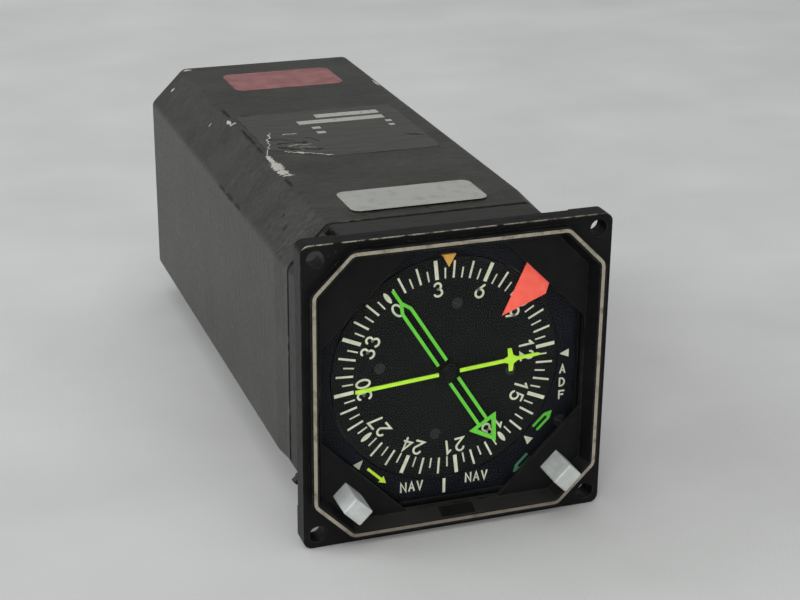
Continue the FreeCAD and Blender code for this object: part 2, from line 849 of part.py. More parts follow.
def buttonSwitch(name):
    """Makes the switch behind the mask that the button's stem works."""
    body = buttonPrism(name, switchSpan, switchDepth, cardRear, frontPlateAt)
    return body.cut(disc(stemRadius + running, cardRear, stemEnd + buttonTravel + 1.0, buttonPlaces[name]))


def buttonSpring(name):
    """Makes the coil spring between the cap and the mask, from short straight lengths of wire."""
    x, z = buttonPlaces[name]
    start = buttonRear + springWire
    rise = cardFront - springWire - start
    count = round(springTurns * springSides)
    points = []
    for i in range(count + 1):
        dx, dz = onCircle(springRadius, 360 * i / springSides)
        points.append(V(x + dx, start + rise * i / count, z + dz))
    path = Part.makePolygon(points)
    along = (points[1] - points[0]).normalize()
    out = V(points[0].x - x, 0, points[0].z - z).normalize()
    side = along.cross(out)
    half = springWire / 2
    square = ((-half, -half), (half, -half), (half, half), (-half, half))
    corners = [points[0] + out * a + side * b for a, b in square]
    section = Part.makePolygon(corners + corners[:1])
    return path.makePipeShell([section], True, False, 1)


# Mechanism frame

def mechanismPlate(half, y0, y1, holes):
    """Makes an octagonal plate with round holes, each given as radius and place."""
    plate = roundedPrism(octagon(half, plateLeg), plateRound, y0, y1)
    return cutAll(plate, [disc(radius, y0, y1, at) for radius, at in holes])


def frontPlate():
    """Makes the plate that is screwed to the casting's bosses and carries the card's front bearing."""
    holes = [(bearingRadius, (0, 0)), (synchroShaftRadius + running, servoAt),
             (flagShaftRadius + running, flagPivot)]
    holes += [(screwRadius, at) for at in bossPlaces]
    return mechanismPlate(plateHalf + frontPlateExtra, frontPlateAt, frontPlateRear, holes)


def middlePlate():
    """Makes the plate that carries the card's rear bearing."""
    holes = [(bearingRadius, (0, 0)), (servoRadius + bodyGap, servoAt),
             (synchroShaftRadius + 0.5, headingSynchroAt)]
    return mechanismPlate(plateHalf, middlePlateAt, middlePlateRear, holes)


def rearPlate():
    """Makes the plate that carries the pointer bearing and the three synchros."""
    holes = [(sleeveBearingRadius, (0, 0)), (servoRadius + bodyGap, servoAt),
             (synchroShaftRadius + running, headingSynchroAt),
             (synchroShaftRadius + running, pointerSynchroAt)]
    return mechanismPlate(plateHalf, rearPlateAt, rearPlateRear, holes)


def tailPlate():
    """Makes the plate at the back that the long pillars pass through."""
    holes = [(connectorRadius + 2.0, (0, 0))] + [(pillarRadius, at) for at in pillarPlaces]
    return mechanismPlate(plateHalf, tailPlateAt, tailPlateRear, holes)


def hexPillar(at, y0, y1):
    """Makes a hexagonal pillar."""
    corners = [onCircle(pillarRadius, 60 * i) for i in range(6)]
    return prism([(at[0] + x, at[1] + z) for x, z in corners], y0, y1)


def maskPillars():
    """Makes the four pillars between the mask and the front plate."""
    pillars = []
    for at in pillarPlaces:
        thread = disc(screwRadius, cardRear, cardRear + maskScrewReach, at)
        pillars.append(hexPillar(at, cardRear, frontPlateAt).cut(thread))
    return Part.makeCompound(pillars)


def framePillars():
    """Makes the eight short pillars between the front, middle and rear plates."""
    spans = ((frontPlateRear, middlePlateAt), (middlePlateRear, rearPlateAt))
    return Part.makeCompound([hexPillar(at, y0, y1) for at in pillarPlaces for y0, y1 in spans])


def tailPillars():
    """Makes the four long pillars from the rear plate to the back of the can."""
    pillars = []
    for at in pillarPlaces:
        thread = disc(screwRadius, canInside - pilotDepth, canInside, at)
        pillars.append(disc(pillarRadius, rearPlateRear, canInside, at).cut(thread))
    return Part.makeCompound(pillars)


def mechanismScrews():
    """Makes the screws that hold the front plate to the casting."""
    screws = []
    for at in bossPlaces:
        top = frontPlateRear + plateScrewHeadThick
        head = slottedHead(plateScrewHead, frontPlateRear, top, at, top - slotDepth, top)
        screws.append(head.fuse(disc(screwRadius, frontPlateAt - plateScrewReach, frontPlateRear, at)))
    return Part.makeCompound(screws)


def cardBearings():
    """Makes the two bearings of the card's hollow shaft."""
    bore = cardSleeveRadius + running
    return Part.makeCompound([ring(bearingRadius, bore, frontPlateAt, frontPlateRear),
                              ring(bearingRadius, bore, middlePlateAt, middlePlateRear)])


def sleeveBearing():
    """Makes the bearing of the double-bar pointer's hollow shaft."""
    return ring(sleeveBearingRadius, pointerSleeveRadius + running, rearPlateAt, rearPlateRear)


def motorBody(radius, flangeRadius, at, y0, y1, boreRadius, boreDepth):
    """Makes a round motor or synchro body with a front flange and a rear cap."""
    flangeRear = y0 + servoFlangeThick
    capFront = y1 - bodyCapLength
    capRadius = radius - bodyCapStep
    profile = [(0, y0), (flangeRadius, y0), (flangeRadius, flangeRear), (radius, flangeRear),
               (radius, capFront), (capRadius, capFront + bodyCapStep), (capRadius, y1), (0, y1)]
    return turned(profile, at).cut(disc(boreRadius, y0, y0 + boreDepth, at))


def headingServo():
    """Makes the servo motor that drives the card's pinion."""
    return motorBody(servoRadius, servoFlangeRadius, servoAt, frontPlateRear, servoEnd,
                     synchroShaftRadius + running, shaftReach + 0.5)


def sideSynchro(at):
    """Makes a synchro whose shaft runs beside the dial's axis."""
    return motorBody(synchroRadius, synchroRadius + synchroLip, at, rearPlateRear, synchroEnd,
                     synchroShaftRadius + running, shaftReach + 0.5)


def coaxialSynchro():
    """Makes the synchro on the dial's axis that turns the single-bar pointer."""
    return motorBody(coaxialRadius, coaxialRadius + coaxialLip, (0.0, 0.0), rearPlateRear, synchroEnd,
                     innerShaftRadius + running, synchroEnd - rearPlateRear)


# Electronics

def circuitBoard(side):
    """Makes one upright circuit board against the long pillars."""
    outer = pillarX - pillarRadius
    x0 = -outer if side < 0 else outer - boardThick
    return Part.makeBox(boardThick, boardEnd - boardStart, 2 * boardHalfHeight,
                        V(x0, boardStart, -boardHalfHeight))


def boardComponents():
    """Makes the capacitors, power transistors and packages on the boards' inner faces."""
    face = pillarX - pillarRadius - boardThick
    thick, long, wide = packageSize
    solids = []
    for side in (-1, 1):
        for row in range(3):
            y = boardStart + componentMargin + componentStep * row
            for z in (-componentAside, componentAside):
                if row == 1:
                    place = V(side * face, y, z)
                    solids.append(Part.makeCylinder(capacitorRadius, capacitorHeight, place, V(-side, 0, 0)))
                else:
                    x0 = face - thick if side > 0 else -face
                    solids.append(Part.makeBox(thick, long, wide, V(x0, y - long / 2, z - wide / 2)))
    return Part.makeCompound(solids)


def transformerCore():
    """Makes the laminated core, with a window for the winding, fixed to the tail plate."""
    y0 = tailPlateAt - coreLength
    half = coreSize / 2
    body = block(half, half, y0, tailPlateAt)
    return body.cut(block(half + 1, half - coreLimb, y0 + coreBack, y0 + coreBack + windingLength))


def transformerWinding():
    """Makes the taped winding in the core's window."""
    y0 = tailPlateAt - coreLength + coreBack
    half = windingSize / 2
    body = block(half, coreSize / 2 - coreLimb, y0, y0 + windingLength)
    return body.makeFillet(windingRound, [e for e in body.Edges if abs(e.CenterOfMass.x) > half - 0.01])


# Case and rear

def caseCan():
    """Makes the drawn can: a chamfered shell, drawn in slightly at its front, closed at the back."""
    lip = octagon(neckHalf, neckLeg)
    wide = octagon(canHalf, neckLeg)
    swageEnd = canFront + canSwage
    outer = fused([roundedPrism(lip, canRound, canFront, canFront + canLip),
                   roundedLoft(lip, wide, canRound, canFront + canLip, swageEnd),
                   roundedPrism(wide, canRound, swageEnd, canRear)])
    rearEdges = [e for e in outer.Edges if abs(e.BoundBox.YMin - canRear) < 0.01
                 and abs(e.BoundBox.YMax - canRear) < 0.01]
    outer = outer.makeFillet(rearRound, rearEdges)
    narrow = inset(neckHalf, neckLeg, canWall)
    broad = inset(canHalf, neckLeg, canWall)
    tools = [roundedPrism(narrow, canRound - canWall, canFront, swageEnd),
             roundedPrism(broad, canRound - canWall, swageEnd, canInside),
             disc(connectorRadius + sideGap, canInside, canRear)]
    tools += [disc(screwRadius, canInside, canRear, at) for at in pillarPlaces]
    tools += [disc(screwRadius, canInside, canRear, at) for at in connectorScrewPlaces()]
    return cutAll(outer, tools)


def caseSeal():
    """Makes the rubber seal in the joint between the neck and the can, set back from the surface."""
    outer = inset(neckHalf, neckLeg, sealInset)
    inner = inset(neckHalf, neckLeg, neckWall)
    seal = roundedPrism(outer, canRound - sealInset, neckLength, canFront)
    return seal.cut(roundedPrism(inner, canRound - neckWall, neckLength, canFront))


def caseScrews():
    """Makes the four screws that hold the can to the long pillars."""
    screws = []
    for at in pillarPlaces:
        top = canRear + caseScrewHeadThick
        head = slottedHead(caseScrewHead, canRear, top, at, top - slotDepth, top)
        screws.append(head.fuse(disc(screwRadius, canInside - caseScrewReach, canRear, at)))
    return Part.makeCompound(screws)


def connectorScrewPlaces():
    """Places the four screws of the rear connector's flange."""
    reach = connectorFlange - connectorScrewMargin
    return [(sx * reach, sz * reach) for sx in (-1, 1) for sz in (-1, 1)]


def rearConnector():
    """Makes the round receptacle shell with its square flange."""
    flangeRear = canRear + connectorFlangeThick
    square = [(-connectorFlange, -connectorFlange), (connectorFlange, -connectorFlange),
              (connectorFlange, connectorFlange), (-connectorFlange, connectorFlange)]
    shell = fused([roundedPrism(square, 2.0, canRear, flangeRear),
                   disc(connectorRadius, canInside - connectorInset, canRear + connectorReach)])
    tools = [disc(connectorBore, canInside - connectorInset, canRear + connectorReach)]
    tools += [disc(screwRadius, canRear, flangeRear, at) for at in connectorScrewPlaces()]
    return cutAll(shell, tools)


def pinPlaces():
    """Places the connector's pins on two circles round a middle pin."""
    return [onCircle(radius, 360 / count * i) for radius, count in pinCircles
            for i in range(round(count))]


def connectorInsert():
    """Makes the insulating insert that holds the pins."""
    y0, y1 = canInside - connectorInset, canRear + connectorReach - insertFront
    return cutAll(disc(connectorBore, y0, y1), [disc(pinRadius, y0, y1, at) for at in pinPlaces()])


def connectorPins():
    """Makes the connector's pins."""
    y0, y1 = canInside - connectorInset - 1.5, canRear + connectorReach - 1.0
    return Part.makeCompound([disc(pinRadius, y0, y1, at) for at in pinPlaces()])


def connectorScrews():
    """Makes the screws of the connector's flange."""
    front = canRear + connectorFlangeThick
    screws = []
    for at in connectorScrewPlaces():
        top = front + connectorScrewHeadThick
        head = slottedHead(connectorScrewHead, front, top, at, top - slotDepth, top)
        screws.append(head.fuse(disc(screwRadius, canInside, front, at)))
    return Part.makeCompound(screws)


def topLabel(size):
    """Makes a thin label with rounded corners on the case's top."""
    centre, y0, y1, half = size
    points = [V(centre - half, y0, canHalf), V(centre + half, y0, canHalf),
              V(centre + half, y1, canHalf), V(centre - half, y1, canHalf)]
    sheet = Part.Face(Part.makePolygon(points + points[:1])).extrude(V(0, 0, labelThick))
    upright = [e for e in sheet.Edges if abs(e.tangentAt(e.FirstParameter).z) > 0.9]
    return sheet.makeFillet(labelRound, upright)


nodes = {
    "bezel_casting": bezelCasting,
    "bezel_line": lambda: lineRing(lineProud),
    "blank_plate": blankPlate,
    "glass_gasket": lambda: octagonFrame(glassHalf, glassLeg, shelfRear, glassFront),
    "cover_glass": coverGlass,
    "glass_retainer": lambda: octagonFrame(glassHalf, glassLeg, glassRear, retainerRear),
    "neck_screws": neckScrews,
    "dial_mask": dialMask,
    "mask_screws": maskScrews,
    "mask_pillars": maskPillars,
    "top_index": topIndex,
    "yellow_arrow_light": lambda: singleArrow(yellowArrow),
    "green_arrow_light": lambda: doubleArrow(greenArrow),
    "dim_arrow_light": lambda: doubleArrow(dimArrow),
    "lamp_ring": lampRing,
    "annunciator_lamps": annunciatorLamps,
    "dial_lamps": dialLamps,
    "compass_card": compassCard,
    "card_screws": cardScrews,
    "card_hub": cardHub,
    "card_gear": cardGear,
    "heading_gear": lambda: bossedGear((0.0, 0.0), headingGearAt, 315, cardSleeveRadius),
    "servo_pinion": servoPinion,
    "heading_servo": headingServo,
    "heading_synchro_gear": headingSynchroGear,
    "heading_synchro": lambda: sideSynchro(headingSynchroAt),
    "single_pointer": singlePointer,
    "single_pointer_hub": singleHub,
    "inner_shaft": innerShaft,
    "single_pointer_synchro": coaxialSynchro,
    "double_pointer": doublePointer,
    "double_pointer_hub": doubleHub,
    "pointer_sleeve": pointerSleeve,
    "sleeve_gear": lambda: bossedGear((0.0, 0.0), pointerGearAt, 135, pointerSleeveRadius),
    "double_pointer_synchro_gear": pointerSynchroGear,
    "double_pointer_synchro": lambda: sideSynchro(pointerSynchroAt),
    "warning_flag": warningFlag,
    "flag_shaft": flagShaft,
    "flag_meter": flagMeter,
    "button_left": lambda: button("left"),
    "button_right": lambda: button("right"),
    "button_switches": lambda: Part.makeCompound([buttonSwitch(n) for n in buttonPlaces]),
    "button_spring_left": lambda: buttonSpring("left"),
    "button_spring_right": lambda: buttonSpring("right"),
    "front_plate": frontPlate,
    "middle_plate": middlePlate,
    "rear_plate": rearPlate,
    "frame_pillars": framePillars,
    "mechanism_screws": mechanismScrews,
    "shaft_bearings": lambda: Part.makeCompound([cardBearings(), sleeveBearing()]),
    "tail_frame": lambda: Part.makeCompound([tailPlate(), tailPillars()]),
    "circuit_boards": lambda: Part.makeCompound([circuitBoard(-1), circuitBoard(1)]),
    "board_components": boardComponents,
    "power_transformer": lambda: Part.makeCompound([transformerCore(), transformerWinding()]),
    "case_can": caseCan,
    "case_seal": caseSeal,
    "case_screws": lambda: Part.makeCompound([caseScrews(), connectorScrews()]),
    "rear_connector": rearConnector,
    "connector_insert": lambda: Part.makeCompound([connectorInsert(), connectorPins()]),
    "top_labels": lambda: Part.makeCompound([topLabel(s) for s in (silverLabel, darkLabel, redLabel)]),
}

os.makedirs("parts", exist_ok=True)
for name, make in nodes.items():
    shape = make()
    print(name, "solids", len(shape.Solids), "volume", round(shape.Volume, 1), "valid", shape.isValid())
    shape.exportStep(os.path.join("parts", name + ".step"))
print("nodes", len(nodes))
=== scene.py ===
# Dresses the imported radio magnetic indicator: dial marks, finishes, labels, cloth, lamps and camera
import math

import bmesh
import bpy
from mathutils import Matrix, Vector, noise


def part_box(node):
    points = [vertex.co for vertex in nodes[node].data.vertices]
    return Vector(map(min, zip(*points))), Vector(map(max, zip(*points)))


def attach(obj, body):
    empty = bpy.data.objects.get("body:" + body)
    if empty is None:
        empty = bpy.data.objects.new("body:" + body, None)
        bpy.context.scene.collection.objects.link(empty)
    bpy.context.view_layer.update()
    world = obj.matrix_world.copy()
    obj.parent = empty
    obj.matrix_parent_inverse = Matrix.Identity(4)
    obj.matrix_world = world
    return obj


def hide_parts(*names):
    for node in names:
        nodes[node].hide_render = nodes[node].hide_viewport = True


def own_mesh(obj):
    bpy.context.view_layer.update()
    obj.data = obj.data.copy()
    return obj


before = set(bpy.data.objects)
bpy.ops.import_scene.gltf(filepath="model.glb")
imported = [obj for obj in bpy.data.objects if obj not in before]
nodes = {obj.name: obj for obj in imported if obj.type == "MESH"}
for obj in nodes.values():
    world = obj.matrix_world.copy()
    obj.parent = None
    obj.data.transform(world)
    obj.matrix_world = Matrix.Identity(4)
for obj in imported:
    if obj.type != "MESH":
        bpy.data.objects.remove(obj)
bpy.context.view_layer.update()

mm = 0.001
print("frame loaded:", len(nodes), "nodes")


# sRGB hex to the linear values that sockets take
def hexColour(code):
    parts = [int(code[i:i + 2], 16) / 255 for i in (1, 3, 5)]
    return [p / 12.92 if p <= 0.04045 else ((p + 0.055) / 1.055) ** 2.4 for p in parts] + [1.0]


# adds one node; inputs may be sockets, nodes or plain values
def addNode(tree, kind, settings=None, inputs=None):
    node = tree.nodes.new(kind)
    for name, value in (settings or {}).items():
        setattr(node, name, value)
    for name, value in (inputs or {}).items():
        named = isinstance(name, str)
        socket = next(s for s in node.inputs if s.enabled and s.name == name) if named else node.inputs[name]
        if isinstance(value, bpy.types.Node):
            value = next(s for s in value.outputs if s.enabled)
        if isinstance(value, bpy.types.NodeSocket):
            tree.links.new(value, socket)
        else:
            socket.default_value = value
    return node


# an empty finish with its shader; every finish starts here from a real IOR and metal share
def startFinish(name, ior=1.5, metallic=0.0, roughness=0.5):
    material = bpy.data.materials.new(name)
    material.use_nodes = True
    tree = material.node_tree
    tree.nodes.clear()
    shader = addNode(tree, "ShaderNodeBsdfPrincipled",
                     inputs={"Metallic": metallic, "IOR": ior, "Roughness": roughness})
    addNode(tree, "ShaderNodeOutputMaterial", inputs={"Surface": shader})
    place = addNode(tree, "ShaderNodeTexCoord").outputs["Object"]
    return material, tree, shader, place


# cloudy noise from 0 to 1 between two thresholds, its grain in millimetres along each axis
def cloud(tree, place, grain, low=0.35, high=0.65, detail=3.0):
    grain = grain if isinstance(grain, (list, tuple)) else (grain,) * 3
    scaled = addNode(tree, "ShaderNodeMapping", inputs={"Vector": place, "Scale": [1 / (g * mm) for g in grain]})
    texture = addNode(tree, "ShaderNodeTexNoise", inputs={"Vector": scaled, "Scale": 1.0, "Detail": detail})
    return addNode(tree, "ShaderNodeMapRange",
                   inputs={"Value": texture.outputs[0], "From Min": low, "From Max": high})


# mixes two colours, each a node or a hex code, by a mask
def blendColours(tree, mask, first, second):
    first, second = [hexColour(colour) if isinstance(colour, str) else colour for colour in (first, second)]
    return addNode(tree, "ShaderNodeMix", {"data_type": "RGBA"}, {"Factor": mask, "A": first, "B": second})


# links nodes to the shader's sockets of the given names
def wire(tree, shader, sockets):
    for name, node in sockets.items():
        tree.links.new(next(s for s in node.outputs if s.enabled), shader.inputs[name])


# how far a point on the case's top lies from a line between two places
def segmentDistance(tree, split, start, stop):
    run = Vector(stop) - Vector(start)
    size = run.length_squared
    along = addNode(tree, "ShaderNodeMath", {"operation": "MULTIPLY_ADD"},
                    {0: split.outputs["X"], 1: run.x / size, 2: -Vector(start).dot(run) / size})
    share = addNode(tree, "ShaderNodeMath", {"operation": "MULTIPLY_ADD", "use_clamp": True},
                    {0: split.outputs["Y"], 1: run.y / size, 2: along})
    gaps = []
    for axis, first, step in (("X", start[0], run.x), ("Y", start[1], run.y)):
        at = addNode(tree, "ShaderNodeMath", {"operation": "MULTIPLY_ADD"}, {0: share, 1: step, 2: first})
        gaps.append(addNode(tree, "ShaderNodeMath", {"operation": "SUBTRACT"}, {0: split.outputs[axis], 1: at}))
    gap = addNode(tree, "ShaderNodeCombineXYZ", inputs={"X": gaps[0], "Y": gaps[1]})
    return addNode(tree, "ShaderNodeVectorMath", {"operation": "LENGTH"}, {0: gap}).outputs["Value"]


# how much of an edge is under the surface, from 0 on a flat to 1 on a sharp edge
def edgeMask(tree, radius, low=0.01, high=0.12):
    rounded = addNode(tree, "ShaderNodeBevel", {"samples": 6}, {"Radius": radius * mm})
    flat = addNode(tree, "ShaderNodeNewGeometry").outputs["Normal"]
    same = addNode(tree, "ShaderNodeVectorMath", {"operation": "DOT_PRODUCT"}, {0: rounded, 1: flat})
    bent = addNode(tree, "ShaderNodeMath", {"operation": "SUBTRACT"}, {0: 1.0, 1: same.outputs["Value"]})
    return addNode(tree, "ShaderNodeMapRange", inputs={"Value": bent, "From Min": low, "From Max": high})


# patches round given points, broken up by noise: x, y, z and size in millimetres
def patchMask(tree, place, patches, ragged=0.5, grain=1.2):
    total = None
    wobble = addNode(tree, "ShaderNodeTexNoise", inputs={"Vector": place, "Scale": 1 / (grain * mm), "Detail": 3.0})
    for x, y, z, sizeX, sizeY, sizeZ in patches:
        centred = addNode(tree, "ShaderNodeVectorMath", {"operation": "SUBTRACT"},
                          {0: place, 1: (x * mm, y * mm, z * mm)})
        scaled = addNode(tree, "ShaderNodeVectorMath", {"operation": "DIVIDE"},
                         {0: centred, 1: (sizeX * mm, sizeY * mm, sizeZ * mm)})
        far = addNode(tree, "ShaderNodeVectorMath", {"operation": "LENGTH"}, {0: scaled}).outputs["Value"]
        rough = addNode(tree, "ShaderNodeMath", {"operation": "MULTIPLY_ADD"},
                        {0: wobble.outputs[0], 1: ragged * 2, 2: far})
        patch = addNode(tree, "ShaderNodeMapRange",
                        inputs={"Value": rough, "From Min": 1 + ragged, "From Max": 0.85 + ragged})
        total = patch if total is None else addNode(tree, "ShaderNodeMath", {"operation": "MAXIMUM"},
                                                    {0: total, 1: patch})
    return total


# colour and roughness clouds with a fine grain, which most finishes share
def plainFinish(name, dark, light, roughLow, roughHigh, grain=0.5, depth=0.01, patch=8.0,
                ior=1.5, metallic=0.0, stretch=(1, 1, 1)):
    material, tree, shader, place = startFinish(name, ior, metallic)
    broad = cloud(tree, place, [patch * s for s in stretch])
    fine = cloud(tree, place, [grain * s for s in stretch], 0.3, 0.7, 2.0)
    colour = blendColours(tree, broad, dark, light)
    rough = addNode(tree, "ShaderNodeMapRange",
                    inputs={"Value": fine, "To Min": roughLow, "To Max": roughHigh})
    bump = addNode(tree, "ShaderNodeBump", inputs={"Height": fine, "Distance": depth * mm, "Strength": 1.0})
    wire(tree, shader, {"Base Color": colour, "Roughness": rough, "Normal": bump})
    return material


# bezel: satin black stoving enamel on a casting, rubbed to bare alloy on its upper front edge, with lint on it
def bezelEnamel():
    look = {
        "dark": "#0b0b0c", "light": "#121213", "neck": "#2b2b29", "bare": "#cfc6b4",
        # the pale dust colour and its share are also painted light on the lower walls that look up
        "grain": 0.35, "lintPitch": 1.7, "lintShare": 0.2, "lint": "#8c8c86", "dustAndPaintedLight": "#77766f", "dustAndPaintedLightShare": 0.06,
        # mm, from no rubbing to full rubbing
        "rubbedAbove": (40.2, 41.0), "rubbedFront": (-4.8, -5.3), "rubbedAcross": (35.0, -20.0),
        "neckOutside": 38.1, "chamferOutside": 65.6,    # the neck's skin lies further out than these
    }
    material, tree, shader, place = startFinish("SatinBlackEnamel", 1.5)
    split = addNode(tree, "ShaderNodeSeparateXYZ", inputs={"Vector": place})
    broad = cloud(tree, place, 9.0)
    fine = cloud(tree, place, look["grain"], 0.3, 0.7, 2.0)
    paint = blendColours(tree, broad, look["dark"], look["light"])
    # the neck was brushed over with the case's grey
    behind = addNode(tree, "ShaderNodeMapRange",
                     inputs={"Value": split.outputs["Y"], "From Min": 0.1 * mm, "From Max": 0.6 * mm})
    out = [addNode(tree, "ShaderNodeMath", {"operation": "ABSOLUTE"}, {0: split.outputs[axis]}) for axis in ("X", "Z")]
    far = addNode(tree, "ShaderNodeMath", {"operation": "ADD"}, {0: out[0], 1: out[1]})
    wide = addNode(tree, "ShaderNodeMath", {"operation": "MAXIMUM"}, {0: out[0], 1: out[1]})
    outer = addNode(tree, "ShaderNodeMath", {"operation": "GREATER_THAN"}, {0: wide, 1: look["neckOutside"] * mm})
    bevel = addNode(tree, "ShaderNodeMath", {"operation": "GREATER_THAN"}, {0: far, 1: look["chamferOutside"] * mm})
    outside = addNode(tree, "ShaderNodeMath", {"operation": "MAXIMUM"}, {0: outer, 1: bevel})
    neck = addNode(tree, "ShaderNodeMath", {"operation": "MULTIPLY"}, {0: behind, 1: outside})
    coated = blendColours(tree, neck, paint, look["neck"])
    # rubbing is strong on the flange's upper front edge and its upper left corner, faint on the other edges
    upper, front, leftward = [
        addNode(tree, "ShaderNodeMapRange",
                inputs={"Value": split.outputs[axis], "From Min": look[reach][0] * mm, "From Max": look[reach][1] * mm,
                        "To Min": least})
        for axis, reach, least in (("Z", "rubbedAbove", 0.0), ("Y", "rubbedFront", 0.0), ("X", "rubbedAcross", 0.45))]
    strong = addNode(tree, "ShaderNodeMath", {"operation": "MULTIPLY"}, {0: upper, 1: front})
    rubbed = addNode(tree, "ShaderNodeMath", {"operation": "MULTIPLY"}, {0: strong, 1: leftward})
    share = addNode(tree, "ShaderNodeMath", {"operation": "MULTIPLY_ADD"}, {0: rubbed, 1: 0.95, 2: 0.025})
    edges = edgeMask(tree, 0.55, 0.006, 0.07)
    broken = addNode(tree, "ShaderNodeMath", {"operation": "MULTIPLY"}, {0: edges, 1: share})
    patchy = cloud(tree, place, 2.8, 0.38, 0.56, 5.0)
    worn = addNode(tree, "ShaderNodeMath", {"operation": "MULTIPLY", "use_clamp": True}, {0: broken, 1: patchy})
    bare = blendColours(tree, worn, coated, look["bare"])
    # lint and dust: small pale specks
    cells = addNode(tree, "ShaderNodeTexVoronoi", inputs={"Vector": place, "Scale": 1 / (look["lintPitch"] * mm)})
    small = addNode(tree, "ShaderNodeMapRange",
                    inputs={"Value": cells.outputs["Distance"], "From Min": 0.075, "From Max": 0.05})
    chosen = addNode(tree, "ShaderNodeSeparateColor", inputs={"Color": cells.outputs["Color"]})
    few = addNode(tree, "ShaderNodeMath", {"operation": "GREATER_THAN"},
                  {0: chosen.outputs["Red"], 1: 1 - look["lintShare"]})
    specks = addNode(tree, "ShaderNodeMath", {"operation": "MULTIPLY"}, {0: small, 1: few})
    faint = addNode(tree, "ShaderNodeMath", {"operation": "MULTIPLY"}, {0: specks, 1: 0.3})
    linty = blendColours(tree, faint, bare, look["lint"])
    # the lower walls, which look up, are paler: partly fine dust lying there, partly painted light standing for what
    # falls on them from above
    surface = addNode(tree, "ShaderNodeNewGeometry").outputs["Normal"]
    facing = addNode(tree, "ShaderNodeSeparateXYZ", inputs={"Vector": surface})
    lying = addNode(tree, "ShaderNodeMapRange",
                    inputs={"Value": facing.outputs["Z"], "From Min": 0.5, "From Max": 0.9,
                            "To Max": look["dustAndPaintedLightShare"]})
    lower = addNode(tree, "ShaderNodeMath", {"operation": "LESS_THAN"}, {0: split.outputs["Z"], 1: 0.0})
    dustAndPaintedLight = addNode(tree, "ShaderNodeMath", {"operation": "MULTIPLY"}, {0: lying, 1: lower})
    withDustAndPaintedLight = blendColours(tree, dustAndPaintedLight, linty, look["dustAndPaintedLight"])
    scuffs = cloud(tree, place, (6.0, 1.0, 2.5), 0.56, 0.66, 5.0)
    rough = addNode(tree, "ShaderNodeMapRange", inputs={"Value": scuffs, "To Min": 0.42, "To Max": 0.56})
    metal = addNode(tree, "ShaderNodeMath", {"operation": "MULTIPLY"}, {0: worn, 1: 0.5})
    bump = addNode(tree, "ShaderNodeBump", inputs={"Height": fine, "Distance": 0.006 * mm})
    wire(tree, shader, {"Base Color": withDustAndPaintedLight, "Roughness": rough, "Metallic": metal, "Normal": bump})
    shader.inputs["Specular IOR Level"].default_value = 0.14   # the fine pores of the enamel swallow most of the sheen
    return material


